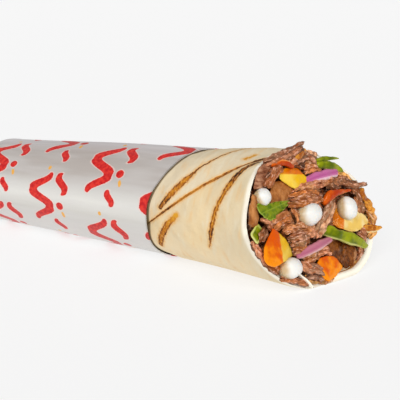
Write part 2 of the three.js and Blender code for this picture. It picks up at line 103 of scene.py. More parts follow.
class Shape:
    """Points, four-sided and three-sided faces, and named values at the points for materials."""

    def __init__(self, points, quads, triangles=(), **values):
        self.points = np.asarray(points, float).reshape(-1, 3)
        self.quads = np.asarray(quads, int).reshape(-1, 4)
        self.triangles = np.asarray(triangles, int).reshape(-1, 3)
        self.values = values

    def face_out(self):
        """Turns all faces round if they point in."""
        p = self.points
        corners = np.concatenate([self.quads[:, :3], self.quads[:, [0, 2, 3]], self.triangles])
        a, b, c = (p[corners[:, i]] for i in range(3))
        if np.einsum("ij,ij->", a, np.cross(b, c)) < 0:
            self.quads = self.quads[:, ::-1]
            self.triangles = self.triangles[:, ::-1]
        return self


def joined(shapes):
    starts = np.cumsum([0] + [len(s.points) for s in shapes[:-1]])
    return Shape(
        np.concatenate([s.points for s in shapes]),
        np.concatenate([s.quads + start for s, start in zip(shapes, starts)]),
        np.concatenate([s.triangles + start for s, start in zip(shapes, starts)]),
        **{key: np.concatenate([s.values[key] for s in shapes]) for key in shapes[0].values},
    )


def grid_quads(rows, columns, closed=False):
    i, j = np.meshgrid(np.arange(rows - 1), np.arange(columns - (not closed)), indexing="ij")
    after = (j + 1) % columns
    quads = [i * columns + j, i * columns + after, (i + 1) * columns + after, (i + 1) * columns + j]
    return np.stack(quads, -1).reshape(-1, 4)


def flat_values(values, shape):
    """Values on a grid as one row for each point."""
    return {key: np.broadcast_to(v, shape + np.shape(v)[2:]).reshape((-1,) + np.shape(v)[2:])
            for key, v in values.items()}


def skinned(rings, **values):
    """A closed shape over rings of points, with a middle point at each end."""
    rows, columns = rings.shape[:2]
    values = flat_values(values, (rows, columns))
    ends = [rings[0].mean(0), rings[-1].mean(0)]
    points = np.concatenate([rings.reshape(-1, 3), ends])
    for key, v in values.items():
        values[key] = np.concatenate([v, [v[:columns].mean(0)], [v[-columns:].mean(0)]])
    j = np.arange(columns)
    after = (j + 1) % columns
    last = (rows - 1) * columns
    first_fan = np.stack([np.full(columns, rows * columns), after, j], -1)
    last_fan = np.stack([np.full(columns, rows * columns + 1), last + j, last + after], -1)
    fans = np.concatenate([first_fan, last_fan])
    return Shape(points, grid_quads(rows, columns, True), fans, **values).face_out()


def sheet(outer, inner, closed=False, **values):
    """A thin closed shape between two grids of points. Each value has the outer and inner grid."""
    rows, columns = outer.shape[:2]
    back = rows * columns
    faces = [grid_quads(rows, columns, closed), grid_quads(rows, columns, closed)[:, ::-1] + back]
    index = np.arange(back).reshape(rows, columns)
    borders = [index[0, ::-1], index[-1]]
    if closed:
        borders = [np.append(border, border[0]) for border in borders]
    else:
        borders += [index[:, 0], index[::-1, -1]]
    for border in borders:
        a, b = border[:-1], border[1:]
        faces.append(np.stack([b, a, a + back, b + back], -1))
    points = np.concatenate([outer.reshape(-1, 3), inner.reshape(-1, 3)])
    both = [flat_values({key: v[side] for key, v in values.items()}, (rows, columns)) for side in (0, 1)]
    values = {key: np.concatenate([both[0][key], both[1][key]]) for key in values}
    return Shape(points, np.concatenate(faces), **values).face_out()


def add_piece(name, shape, material, slot, *nodes):
    """Puts a shape in the scene as a piece that rides on the root and stands for the CAD nodes."""
    mesh = bpy.data.meshes.new(name)
    faces = shape.quads.tolist() + shape.triangles.tolist()
    mesh.from_pydata((shape.points * METRES).tolist(), [], faces)
    mesh.shade_smooth()
    for key, values in shape.values.items():
        kind, field = ("FLOAT_VECTOR", "vector") if values.ndim > 1 else ("FLOAT", "value")
        layer = mesh.attributes.new(key, kind, "POINT")
        layer.data.foreach_set(field, values.astype(np.float32).ravel())
    mesh.materials.append(material)
    piece = bpy.data.objects.new(name, mesh)
    bpy.context.scene.collection.objects.link(piece)
    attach(piece, "root")
    if nodes:
        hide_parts(*nodes)
    return piece


# ---------- The form of the roll ----------
def radius_at(x):
    return ROLL.radius + ROLL.taper * x + ROLL.flare * np.maximum(0, x - ROLL.flare_from) ** 2


def wide_at(x):
    return 1 + ROLL.widening * ease(x, ROLL.widen_from, ROLL.widen_over)


def sink_at(x):
    return ROLL.flat + ROLL.sag * ease(x, ROLL.sag_from, ROLL.sag_over)


def shoulder_at(angle):
    return TAIL.shoulder + TAIL.lean * np.sin(angle)


def rim_at(angle):
    return (RIM.x + RIM.cos * np.cos(angle) + RIM.sin * np.sin(angle)
            + RIM.cos2 * np.cos(2 * angle) + RIM.sin2 * np.sin(2 * angle)
            + RIM.wave * np.sin(5 * angle + 1))


def paper_edge_at(angle):
    return PAPER.x + PAPER.cos * np.cos(angle) + PAPER.sin * np.sin(angle) + PAPER.wave * np.sin(6 * angle)


def relief_at(x, angle, bend):
    """Slow waves in the outer face, none where it lies on the table, and pleats in the tail."""
    wave = np.sin(0.05 * x + 2 * angle) + np.sin(0.035 * x - 3 * angle + 2)
    pleat = np.sin(2 * bend) * np.sin(TAIL.pleats * angle + 0.8 * np.sin(angle))
    off_table = (1 + np.sin(angle)) / 2
    return BREAD.relief * wave * np.cos(bend) * off_table + TAIL.pleat_depth * pleat


def station_at(along, angle, stop, rim):
    """x and bend: along is -1 at the middle of the tail, 0 at its shoulder, 1 at stop, 2 at rim."""
    start = shoulder_at(angle)
    x = np.where(along < 1, lerp(start, stop, np.maximum(along, 0)), lerp(stop, rim, along - 1))
    return x, np.where(along < 0, -along * math.pi / 2, 0)


def bread_station(along, angle, rim):
    """x and bend on the bread, whose stations of 1 lie just past the edge of the paper."""
    return station_at(along, angle, paper_edge_at(angle) + 1, rim)


def roll_points(x, bend, angle, depth):
    """Points of the roll at a station, round by an angle and under the outer face by a depth."""
    radius = radius_at(x)
    length = shoulder_at(angle) - TAIL.x
    normal_x = -np.sin(bend) / length
    normal_y = np.cos(bend) / radius
    norm = np.hypot(normal_x, normal_y)
    out = (radius + relief_at(x, angle, bend)) * np.cos(bend)
    across = out * wide_at(x) - depth * normal_y / norm
    up = radius - sink_at(x) + (out - depth * normal_y / norm) * np.sin(angle)
    along = x - length * np.sin(bend) - depth * normal_x / norm
    return np.stack([along, across * np.cos(angle), np.maximum(up, depth)], -1)


def cover_at(x, bend, angle):
    """How deep the bread lies: under the paper, slack in the tail and turned in at the rim."""
    paper = (PAPER.room + CLEARANCE) * (1 - ease(x, paper_edge_at(angle), PAPER.ease_over))
    curl = RIM.curl * ease(x, rim_at(angle) - RIM.curl_over, 2 * RIM.curl_over)
    crown = CROWN.height * np.exp(-(((x - CROWN.x) / CROWN.over) ** 2)) * np.maximum(0, np.sin(angle)) ** 4
    near_dip = np.maximum(0, np.cos(angle - math.radians(DIP.angle))) ** 6
    dip = DIP.depth * ease(x, rim_at(angle) - DIP.over, DIP.over) * near_dip
    return paper + curl - crown + dip + TAIL.slack * np.sin(bend)


def flap_at(x):
    """Angle in degrees at which the free edge lies."""
    return np.minimum(BREAD.flap_at_rim + BREAD.flap_slope * (BREAD.flap_x - x), BREAD.flap_last)


def under_flap(turn):
    """1 where the sheet lies under the flap, 0 where it is the outer layer."""
    return 1 - ease(turn, INNER_LAP.until, INNER_LAP.over)


def lap_depth(turn, x):
    """Depth of the sheet at a turn: a layer down under the flap, and lifted at its inner end."""
    covered = 1 - ease(turn, flap_at(x) - FLAP.ease, 2 * FLAP.ease)
    lifted = 1 - ease(turn, BREAD.start, BREAD.lift_over)
    first_lap = turn < BREAD.start + BREAD.first_lap
    return np.where(first_lap, LAYER * covered + BREAD.lift * lifted, 0)


def arc(x, degrees):
    """Millimetres round the roll at x."""
    return radius_at(x) * np.radians(degrees)


# ---------- Materials ----------
def colour(red, green, blue):
    """A linear colour from the 0 to 255 values seen on a screen."""
    seen = np.array([red, green, blue]) / 255
    linear = np.where(seen <= 0.04045, seen / 12.92, ((seen + 0.055) / 1.055) ** 2.4)
    return (*linear.tolist(), 1.0)


def operation(name, swapped=False):
    """A method that puts a Math node behind a Value and the Values or numbers it is given."""
    def apply(value, *others):
        inputs = (*others, value) if swapped else (value, *others)
        return value.shader.node("Math", dict(enumerate(inputs)), operation=name)
    return apply


class Value:
    """A node's output. Sums are written with it as with a number."""

    __add__ = operation("ADD")
    __sub__ = operation("SUBTRACT")
    __rsub__ = operation("SUBTRACT", swapped=True)
    __mul__ = operation("MULTIPLY")
    __truediv__ = operation("DIVIDE")
    __mod__ = operation("FLOORED_MODULO")
    __abs__ = operation("ABSOLUTE")
    at_least = operation("MAXIMUM")
    at_most = operation("MINIMUM")
    root = operation("SQRT")
    sine = operation("SINE")
    cosine = operation("COSINE")
    floor = operation("FLOOR")

    def __init__(self, shader, socket):
        self.shader = shader
        self.socket = socket


class Shader:
    """A procedural material. Inputs are numbers, vectors, Values, or red, green and blue up to 255."""

    def __init__(self, name):
        self.material = bpy.data.materials.new(name)
        self.material.use_nodes = True
        self.nodes = self.material.node_tree.nodes
        self.surface = self.nodes["Principled BSDF"]

    def feed(self, socket, value):
        if isinstance(value, Value):
            self.material.node_tree.links.new(value.socket, socket)
        elif socket.type == "RGBA" and len(value) == 3:
            socket.default_value = colour(*value)
        else:
            socket.default_value = value

    def node(self, kind, inputs, output=0, **settings):
        node = self.nodes.new("ShaderNode" + kind)
        for key, value in settings.items():
            setattr(node, key, value)
        for key, value in inputs.items():
            self.feed(node.inputs[key], value)
        return Value(self, node.outputs[output])

    def vector(self, name):
        return self.node("Attribute", {}, "Vector", attribute_type="GEOMETRY", attribute_name=name)

    def value(self, name):
        return self.node("Attribute", {}, "Fac", attribute_type="GEOMETRY", attribute_name=name)

    def parts(self, vector):
        node = self.nodes.new("ShaderNodeSeparateXYZ")
        self.feed(node.inputs[0], vector)
        return [Value(self, output) for output in node.outputs]

    def noise(self, place, scale=1.0, detail=3.0, rough=0.5):
        """Clouds of about 0 to 1. The scale says how fine, as one number or one for each way."""
        if isinstance(scale, tuple):
            place = self.node("VectorMath", {0: place, 1: scale}, operation="MULTIPLY")
            scale = 1.0
        inputs = {"Vector": place, "Scale": scale, "Detail": detail, "Roughness": rough}
        return self.node("TexNoise", inputs, "Fac")

    def fade(self, value, low, high, start=0.0, end=1.0):
        """Smoothly from start at low to end at high."""
        inputs = {"Value": value, "From Min": low, "From Max": high, "To Min": start, "To Max": end}
        return self.node("MapRange", inputs, interpolation_type="SMOOTHSTEP")

    def mix(self, factor, a, b):
        return self.node("Mix", {0: factor, 6: a, 7: b}, 2, data_type="RGBA")

    def layers(self, base, *layers):
        """A colour with others over it, each given as its share and the colour."""
        for share, tone in layers:
            base = self.mix(share, base, tone)
        return base

    def ramp(self, value, *stops):
        """A colour or a number that goes through the stops, each a place and its colour or number."""
        node = self.nodes.new("ShaderNodeValToRGB")
        points = node.color_ramp.elements
        while len(points) < len(stops):
            points.new(1.0)
        for point, (place, what) in zip(points, stops):
            point.position = place
            point.color = colour(*what) if isinstance(what, tuple) else (what, what, what, 1)
        self.feed(node.inputs[0], value)
        return Value(self, node.outputs[0])

    def bump(self, height, depth, under=None):
        """Bumps that deep in millimetres; under is a broader bump they lie on."""
        inputs = {"Height": height, "Strength": 1.0, "Distance": depth * METRES}
        if under is not None:
            inputs["Normal"] = under
        return self.node("Bump", inputs)

    def done(self, **sockets):
        """Feeds the surface's sockets, whose names have _ for a space, and gives the material."""
        for key, value in sockets.items():
            self.feed(self.surface.inputs[key.replace("_", " ")], value)
        return self.material


# ---------- Flatbread ----------
NEAR_SIDE = (84, 276)  # turns between which the columns of points are closest
SEAM = 330  # turn at which the places on the bread start again, low on the far side
FLAP_FROM = 430  # turn from which the columns slant with the free edge
OPEN_RUN = 60  # about how much bread shows from the sleeve to the rim
LIP_ROWS = (1.3, 0.9, 0.6, 0.4, 0.24, 0.1, 0.0)  # how far the last rows are from the rim
FAR = 60  # what counts as far from an edge
FOLD_FROM = 400  # turn from which the sheet's own free edge counts, not the one that lies over it
LAP_APART = 40.0  # sets the noise of the outer lap off from that of the inner one

# Grill marks: places as angle in degrees and x, then half widths in millimetres and how dark they
# are, both as stops from 0 at the first place to 1 at the last
GRILL_MARKS = {
    "long": (
        ((79, 45.4), (88, 42.8), (97, 39.6), (105, 36.7), (115, 33.2), (126, 29.2), (138, 25.5), (147, 22.4),
         (156, 18.8), (164, 15.6), (171, 13.2)),
        ((0, 0.32), (0.4, 0.4), (0.58, 0.6), (0.66, 1.45), (0.85, 1.55), (1, 1.15)),
        ((0, 0.75), (0.5, 0.7), (0.68, 0.5), (0.85, 0.5), (0.92, 0.8), (1, 0.7))),
    "low": (
        ((181, 20.5), (186, 17.6), (193, 15.2), (203, 12.2), (216, 9.6)),
        ((0, 1.3), (0.2, 1.55), (0.7, 1.5), (1, 1.2)),
        ((0, 0.2), (0.2, 0.5), (0.6, 0.6), (1, 0.6))),
    "dark": (
        ((111, 59.5), (117, 55.3), (125, 52.2), (134, 49.9), (146, 48.0), (156, 46.3), (165, 44.6),
         (175, 43.4), (184, 42.4), (195, 41.4), (203, 39.8)),
        ((0, 0.4), (0.1, 1.1), (0.2, 1.5), (0.34, 1.5), (0.42, 1.1), (0.6, 1.15), (0.7, 1.2), (0.85, 1.0),
         (0.93, 0.5), (1, 0.2)),
        ((0, 1.0), (0.15, 1.0), (0.24, 1.0), (0.34, 0.5), (0.5, 0.4), (0.7, 0.45), (0.82, 0.7), (1, 0.5))),
    "spot": (((177, 22.0), (182, 20.0)), ((0, 1.2), (1, 1.2)), ((0, 0.02), (1, 0.05))),
    "faint": (((104, 51.5), (111, 48.5)), ((0, 0.7), (1, 0.7)), ((0, 0.1), (1, 0.15))),
}


def mark_places(x, degrees, mark):
    """Millimetres across a mark, millimetres past its ends, and 0 to 1 along it."""
    angles, places = np.array(GRILL_MARKS[mark][0]).T
    line = np.interp(degrees, angles, places)
    run = np.interp(degrees, angles, np.gradient(places, angles)) / np.radians(radius_at(line))
    across = (x - line) / np.hypot(1, run)
    past = np.maximum(0, np.maximum(angles[0] - degrees, degrees - angles[-1]))
    along = (degrees - angles[0]) / (angles[-1] - angles[0])
    return np.stack([across, arc(x, past), along], -1)


def bread_rows():
    """Stations from inside the tail to the rim, closest where the bread shows and at its lip."""
    hidden = np.linspace(-0.4, 1, 24)
    shown = np.linspace(1, 2, 78)[1:-2]
    return np.concatenate([hidden, shown, 2 - np.array(LIP_ROWS) / OPEN_RUN])[:, None]


def free_edge(along):
    """Turn at which the sheet ends in each row, found in steps because x depends on it."""
    last = np.full(along.shape, 360.0 + BREAD.flap_at_rim)
    for _ in range(12):
        angle = np.radians(last)
        last = 360 + flap_at(bread_station(along, angle, rim_at(angle))[0])
    return last


def bread_turns(last):
    """Turns of the columns, from the inner end of the sheet to its free edge in each row."""
    near, far = NEAR_SIDE
    even = np.concatenate([
        np.arange(BREAD.start, near, 3.0),
        np.arange(near, far, 1.4),
        np.linspace(far, SEAM - 0.02, 20),
        np.linspace(SEAM + 0.02, FLAP_FROM, 37)[:-1],
    ])
    on_flap = lerp(FLAP_FROM, last, 1 - np.linspace(1, 0, 84) ** 1.25)
    return np.concatenate([np.broadcast_to(even, (len(last), even.size)), on_flap], 1)


def bread_shape():
    along = bread_rows()
    last = free_edge(along)
    turn = bread_turns(last)
    angle = np.radians(turn)
    rim = rim_at(angle) - INNER_LAP.short * under_flap(turn)
    rim = rim - LIP.near_back * np.maximum(0, -np.cos(angle)) ** 2
    x, bend = bread_station(along, angle, rim)

    to_rim = (2 - along) * OPEN_RUN + 0 * turn
    to_free_edge = arc(x, last - turn)
    to_end = np.minimum(to_free_edge, arc(x, turn - BREAD.start))
    half = BREAD.thickness / 2
    thin = FLAP.thinner * (1 - ease(to_free_edge, 0, FLAP.thin_over))
    rounding = np.maximum(LIP.blunt, rounded(to_rim / LIP.rounding)) * rounded(to_end / half, 0.01)
    top = cover_at(x, bend, angle) + lap_depth(turn, x)
    middle = top + (BREAD.thickness - thin) / 2 + 0.4 * thin
    spread = (half - thin / 2) * np.maximum(rounding, 0.12)

    place = np.stack([x, arc(0, turn), 0 * x], -1)
    off_table = ease(np.sin(angle), -0.95, 0.4)
    puffs = (0.22 * lumps(place, 9, 11) + 0.1 * lumps(place, 3.2, 12)) * off_table
    upright = np.maximum(0, np.cos(angle - math.radians(LIP.upright)))
    slant = LIP.slant * (1 - LIP.less_slant * upright) * (1 - ease(to_rim, 0, LIP.slant_over))
    lip = LIP.thicker * (1 - ease(to_rim, 0, LIP.over)) * (1 - under_flap(turn))
    outer = roll_points(x + LIP.outer_share * slant, bend, angle, middle - spread - puffs)
    inner = roll_points(x - (1 - LIP.outer_share) * slant, bend, angle, middle + spread + lip)

    degrees = np.where(turn < SEAM, turn, turn - 360)
    before_edge = np.where(turn < SEAM, -arc(x, turn - flap_at(x)), -FAR)
    values = {name: mark_places(x, degrees, name) for name in GRILL_MARKS}
    values["sheet_place"] = np.stack([x, arc(0, degrees), np.where(turn > SEAM, LAP_APART, 0.0)], -1)
    values["fold"] = np.where(turn > FOLD_FROM, to_free_edge, before_edge)
    values["to_rim"] = to_rim + FAR * under_flap(turn)
    values["to_paper"] = x - paper_edge_at(angle)
    both_faces = {name: (value, value) for name, value in values.items()}
    return sheet(outer, inner, inside=(0 * x, 0 * x + 1), **both_faces)


def bread_material():
    """Mottled flatbread, toasted along its free edge and in the grill marks, white at its rim, with painted
    shade in a thin dark line along the sleeve's edge.
    """
    s = Shader("flatbread")
    place, fold = s.vector("sheet_place"), s.value("fold")
    to_rim, inside = s.value("to_rim"), s.value("inside")
    outside = 1.0 - inside
    x, round_mm, _ = s.parts(place)
    broad = s.noise(place, (0.07, 0.035, 1.0), 2.0)
    streaks = s.noise(place, (0.3, 0.09, 1.0))
    specks = s.noise(place, 0.9, 4.0, 0.65)
    base = s.layers(
        (231, 207, 164),
        (s.fade(broad, 0.36, 0.64), (224, 204, 168)),
        (s.fade(round_mm, 92, 104, 0, 0.7) * s.fade(round_mm, 128, 152, 1, 0), (238, 219, 184)),
        (s.fade(fold, -3, 6, 0, 0.7), (225, 209, 180)),
        (s.fade(to_rim, 3, 16, 0.5, 0), (218, 206, 178)),
        (s.fade(streaks, 0.52, 0.72, 0, 0.55), (230, 192, 138)),
        (s.fade(streaks, 0.48, 0.3, 0, 0.5), (230, 218, 192)),
        (s.fade(specks, 0.55, 0.8, 0, 0.35), (206, 172, 122)),
    )

    fleck = s.noise(place, (1.1, 0.6, 1.0), 4.0, 0.7)
    patch = s.noise(place, (0.55, 0.35, 1.0), 3.0, 0.6)
    wobble = (s.noise(place, 0.55) - 0.5) * 1.5
    off_fold = abs(fold + wobble * 0.5)
    browned = s.fade(off_fold, 0.25, 0.75, 1, 0)
    dark = browned * s.ramp(s.fade(x, 0, 60), (0, 0.7), (0.12, 0.6), (0.2, 0.8), (0.3, 0.35), (0.55, 0.25),
                            (0.62, 0.55), (0.7, 0.35), (0.88, 0.6), (0.96, 1.0))
    glow = s.fade(off_fold, 0.3, 2.4, 0.9, 0)
    for mark, (_, half_widths, darkness) in GRILL_MARKS.items():
        across, past, along = s.parts(s.vector(mark))
        across = across + wobble
        half = s.ramp(along, *[(stop, half / 2) for stop, half in half_widths]) * 2.0
        beyond = (across * across + past * past).root() - half
        within = s.fade(beyond, -0.35, 0.4, 1, 0)
        hollow = s.fade(beyond, -0.9, -0.35, 0.5, 1)
        browned = browned.at_least(within)
        dark = dark.at_least(within * hollow * s.ramp(along, *darkness) * 1.3)
        glow = glow.at_least(s.fade(beyond, 0.0, 1.8, 0.9, 0))
    browned = browned * outside * s.fade(fleck, 0.28, 0.46, 0.55, 1.0)
    dark = dark * (s.fade(fleck, 0.34, 0.62, 0.3, 0.9) + s.fade(patch, 0.4, 0.6, 0, 0.5))
    glow = glow * outside * s.fade(fleck, 0.32, 0.62, 0.2, 0.85)
    toast = s.ramp(dark, (0, (222, 158, 44)), (0.3, (190, 118, 32)), (0.6, (132, 70, 18)),
                   (0.95, (38, 20, 8)))

    stain = s.layers((196, 134, 66), (s.fade(fleck, 0.4, 0.62), (232, 186, 104)),
                     (s.fade(patch, 0.36, 0.6), (168, 104, 52)))
    lip = s.fade(to_rim, s.fade(inside, 0.3, 1, 0.9, -0.5), s.fade(inside, 0.3, 1, 1.8, 0.9), 1, 0)
    base = s.layers(
        base,
        (glow, (226, 168, 84)),
        (browned, toast),
        # Painted shade: a thin dark line on the bread just past the sleeve's edge.
        (s.fade(s.value("to_paper"), 0.5, 1.05, 0.8, 0), (98, 78, 40)),
        (inside, stain),
        (s.fade(to_rim, 1.2, 2.8, 0.9, 0) * outside, (250, 243, 224)),
        (lip, (252, 244, 226)),
    )
    skin = s.bump(s.noise(place, 0.22), 0.5)
    skin = s.bump(s.noise(place, 1.6, 3.0, 0.6), 0.12, skin)
    return s.done(Base_Color=base, Roughness=s.fade(dark, 0, 1, 0.75, 0.5), Normal=skin,
                  Specular_IOR_Level=0.15)


# ---------- Paper sleeve ----------
PRINT = Sizes(along=36.0, round=4)  # length of a cell of the print, and cells round the sleeve
# Brush strokes in a cell of the print: its middle along and round, half its run, swing and period
# of its wave and its half width, in millimetres
RED_STROKES = (
    (-4.5, 0.0, 13.5, 5.4, 19.0, 2.7),
    (9.0, -9.0, 5.0, 2.4, 15.0, 2.3),
    (8.0, 3.5, 0.8, 0.0, 20.0, 2.3),
    (4.5, 16.5, 3.2, 1.6, 12.0, 2.0),
)
GOLD_STROKES = (
    (9.5, 8.5, 1.2, 0.3, 9.0, 0.95),
    (-1.5, -17.5, 0.6, 0.0, 9.0, 1.0),
)


def paper_shape():
    along = np.concatenate([np.linspace(-1, 0, 46), np.linspace(0, 1, 150)[1:]])[:, None]
    angle = np.linspace(-TAU / 4, 3 * TAU / 4, 241)[None, :-1]
    edge = paper_edge_at(angle)
    x, bend = station_at(along, angle, edge, edge)
    angle = angle + 0 * x
    crumple_places = np.stack([0.09 * x, ROLL.radius * np.cos(angle), ROLL.radius * np.sin(angle)], -1)
    depth = 0.12 * (1 - lumps(crumple_places, 6, 31)) * ease(np.sin(angle), -0.9, 0.4)
    outer = roll_points(x, bend, angle, depth)
    inner = roll_points(x, bend, angle, depth + PAPER.thickness)
    over_tail = PAPER.tail_run * bend
    place = np.stack([x - over_tail - TAIL.shoulder, ROLL.radius * angle, 0 * x], -1)
    return sheet(outer, inner, closed=True, sheet_place=(place, place))


def brush_stroke(s, along, across, middle_along, middle_round, run, swing, period, half):
    """Distance in millimetres out of a wavy stroke that thins towards its ends."""
    here = across - middle_round
    turn = here * (TAU / period)
    slope = turn.cosine() * (swing * TAU / period)
    off = (along - middle_along - turn.sine() * swing) / (slope * slope + 1.0).root()
    past = (abs(here) - run).at_least(0.0)
    reach = (off * off + past * past).root()
    return reach - s.fade(abs(here), 0.3 * run, run + half, half, 0.5 * half)


def nearest_stroke(s, strokes, along, across):
    """Distance in millimetres out of the nearest of the strokes."""
    first, *others = [brush_stroke(s, along, across, *stroke) for stroke in strokes]
    for other in others:
        first = first.at_most(other)
    return first


def paper_material():
    """Silvery paper with a loose print of red and golden brush strokes, set off from row to row, and painted
    reflections in bands round the sleeve.
    """
    s = Shader("sleeve_paper")
    place = s.vector("sheet_place")
    along, round_mm, _ = s.parts(place)
    period = TAU * ROLL.radius / PRINT.round
    column = (along / PRINT.along).floor()
    in_column = along - column * PRINT.along - PRINT.along / 2
    in_row = (round_mm + column % 2.0 * (period / 2)) % period - period / 2
    ragged = (s.noise(place, 1.2, 2.0) - 0.5) * 0.7
    red = nearest_stroke(s, RED_STROKES, in_column, in_row) + ragged
    gold = nearest_stroke(s, GOLD_STROKES, in_column, in_row) + ragged
    # Painted reflection: the paper is darker and lighter in bands by where it lies round the roll, darkest
    # between the top and the near side and brightest on the near side.
    painted_reflection = s.ramp(
        round_mm / (TAU * ROLL.radius),
        (0.2, (228, 224, 224)), (0.27, (208, 200, 200)), (0.33, (176, 167, 161)), (0.42, (180, 172, 166)),
        (0.455, (206, 203, 198)), (0.49, (222, 220, 214)), (0.535, (204, 201, 195)), (0.6, (214, 210, 206)),
        (0.7, (222, 219, 214)))
    ink = s.mix(s.fade(s.noise(place, 0.5), 0.35, 0.65), (190, 20, 26), (222, 52, 40))
    base = s.layers(
        painted_reflection,
        (s.fade(s.noise(place, (0.02, 0.12, 1.0), 2.0), 0.35, 0.65, 0, 0.4), (208, 205, 203)),
        (s.fade(red, 0.15, 0.9, 0.6, 0), (236, 204, 194)),
        (s.fade(red, -0.15, 0.12, 1, 0), ink),
        (s.fade(gold, -0.2, 0.15, 0.9, 0), (236, 168, 52)),
    )
    crease = s.bump(s.noise(place, (0.03, 0.25, 1.0)), 0.5)
    crease = s.bump(s.noise(place, 1.2, 2.0), 0.03, crease)
    return s.done(Base_Color=base, Roughness=0.36, Normal=crease, Specular_IOR_Level=0.3)


# ---------- The face of the filling ----------
# Places on it are h across, v up and out, in millimetres, in a frame on the plane of the rim
rim_radius = float(radius_at(RIM.x))
FACE_OUT = unit(np.array([1, -RIM.cos / (rim_radius * float(wide_at(RIM.x))), -RIM.sin / rim_radius]))
FACE_ACROSS = unit(np.array([-FACE_OUT[1], FACE_OUT[0], 0]))
FACE_UP = np.cross(FACE_OUT, FACE_ACROSS)
FACE_AXES = np.stack([FACE_ACROSS, FACE_UP, FACE_OUT])
FACE_CENTRE = np.array([RIM.x, 0, FACE.height])


def face_points(places):
    return FACE_CENTRE + np.asarray(places, float) @ FACE_AXES


def face_places(points):
    return (points - FACE_CENTRE) @ FACE_AXES.T


def front_of(h, v):
    """How far out the bare core's own front stands: a low dome with crags."""
    dome = FACE.dome * (1 - (h * h + v * v) / FACE.reach**2)
    return dome - FACE.recess + FACE.crag * (np.sin(0.55 * h + 0.3 * v) + np.sin(0.7 * v - 0.25 * h + 1))


def inside_depth(x, bend, angle):
    """Depth of the bread's inner face under the outer face of the roll."""
    turn = BREAD.start + np.mod(np.degrees(angle) - BREAD.start, 360)
    inner_end = rim_at(angle) - INNER_LAP.short * under_flap(turn)
    return cover_at(x, bend, angle) + lap_depth(turn, x) * (1 - ease(x, inner_end - 1, 1.5)) + LAYER


def keep_inside(points, gap=0.2):
    """Presses points that would be in the bread back to its inner face, and lifts them off the table."""
    x, y, z = np.moveaxis(points, -1, 0)
    centre = radius_at(x) - sink_at(x)
    across, up = y / wide_at(x), z - centre
    angle, reach = np.arctan2(up, across), np.hypot(across, up)
    free = FACE.lean_out * ease(x - rim_at(angle), FACE.lean_from, FACE.lean_over)
    room = radius_at(x) - inside_depth(x, 0, angle) - gap + free
    squeeze = np.minimum(1, room / np.maximum(reach, 1e-6))
    return np.stack([x, across * squeeze * wide_at(x), np.maximum(centre + up * squeeze, gap)], -1)


# ---------- Shapes of the pieces of filling ----------
def spline(controls, t):
    """Rows of values on a smooth curve through rows of controls, at t from 0 to 1."""
    c = np.asarray(controls, float)
    c = np.concatenate([[2 * c[0] - c[1]], c, [2 * c[-1] - c[-2]]])
    place = np.clip(t, 0, 1) * (len(c) - 3)
    i = np.minimum(place.astype(int), len(c) - 4)
    f = (place - i)[:, None]
    before, a, b, after = c[i], c[i + 1], c[i + 2], c[i + 3]
    cubic = 3 * (a - b) + after - before
    return a + f / 2 * (b - before + f * (2 * before - 5 * a + 4 * b - after + f * cubic))


def swept(path, rows, thick, roll, end):
    """A line through places (h, v, out, wide) and the frame of its flat section at each row."""
    t = np.linspace(0, 1, rows)
    t = lerp(t, (1 - np.cos(math.pi * t)) / 2, 0.6)  # closer at the ends
    line = spline(path, t)
    middle, wide = line[:, :3], line[:, 3]
    tangent = unit(np.gradient(middle, axis=0))
    side = unit(np.cross([0, 0, 1], tangent))
    lift = np.cross(tangent, side)
    angle = np.radians(roll)
    side, top = side * np.cos(angle) + lift * np.sin(angle), lift * np.cos(angle) - side * np.sin(angle)
    step = np.linalg.norm(np.diff(middle, axis=0), axis=1)
    along = np.concatenate([[0], np.cumsum(step)])
    to_end = np.minimum(along, along[-1] - along)
    rows_of = dict(t=t, along=along, middle=middle, tangent=tangent, side=side, top=top, wide=wide / 2,
                   cap=rounded(to_end / end, 0.02))
    return Sizes(thick=thick / 2, **{key: values[:, None] for key, values in rows_of.items()})


def strip(path, thick, roll=0.0, cup=0.0, cut=(-1,), rows=60, sides=36, square=0.6, rough=0.14, seed=1):
    """A cut strip of pepper, onion or meat; cut names the edges, -1 or 1, that show its flesh."""
    line = swept(path, rows, thick, roll, thick * 0.6)
    angle = np.linspace(0, TAU, sides + 1)[None, :-1]
    across = np.sign(np.cos(angle)) * np.abs(np.cos(angle)) ** square
    up = np.sign(np.sin(angle)) * np.abs(np.sin(angle)) ** square
    wide = line.wide * lerp(line.cap, 1, 0.4) * (1 + 0.05 * np.sin(3 * line.t * TAU + seed))
    rise = line.thick * up * line.cap + cup * (1 - across**2)
    points = line.middle + line.side * (wide * across)[..., None] + line.top * rise[..., None]
    out = unit(line.side * across[..., None] + line.top * up[..., None])
    points = points + out * (rough * lumps(points, 2.6, seed) * line.cap)[..., None]
    shown = [ease(edge * across, 0.7, 0.25) for edge in cut]
    skin = 1 - np.max(shown, axis=0) if cut else 1.0
    local = np.stack([line.along + 0 * angle, across * wide, up * line.thick + 0 * wide], -1)
    return skinned(keep_inside(face_points(points)), local=local, skin=skin + 0 * wide * across)


SIGHT = np.array([-0.905, -0.014, 1.0])  # towards the camera, as (h, v, out)
CORNER_CUT = 0.13  # share of a side that goes at each corner of an outline, twice over


def rounded_outline(outline):
    """Even points on an outline with its corners cut, how far along it each is, and its length."""
    corners = np.array(outline, float)
    for _ in range(2):
        after = np.roll(corners, -1, axis=0)
        pairs = [lerp(corners, after, CORNER_CUT), lerp(after, corners, CORNER_CUT)]
        corners = np.stack(pairs, 1).reshape(-1, 2)
    closed = np.concatenate([corners, corners[:1]])
    run = np.concatenate([[0], np.cumsum(np.linalg.norm(np.diff(closed, axis=0), axis=1))])
    places = np.linspace(0, run[-1], 113)[:-1]
    return np.stack([np.interp(places, run, closed[:, k]) for k in range(2)], -1), places, run[-1]


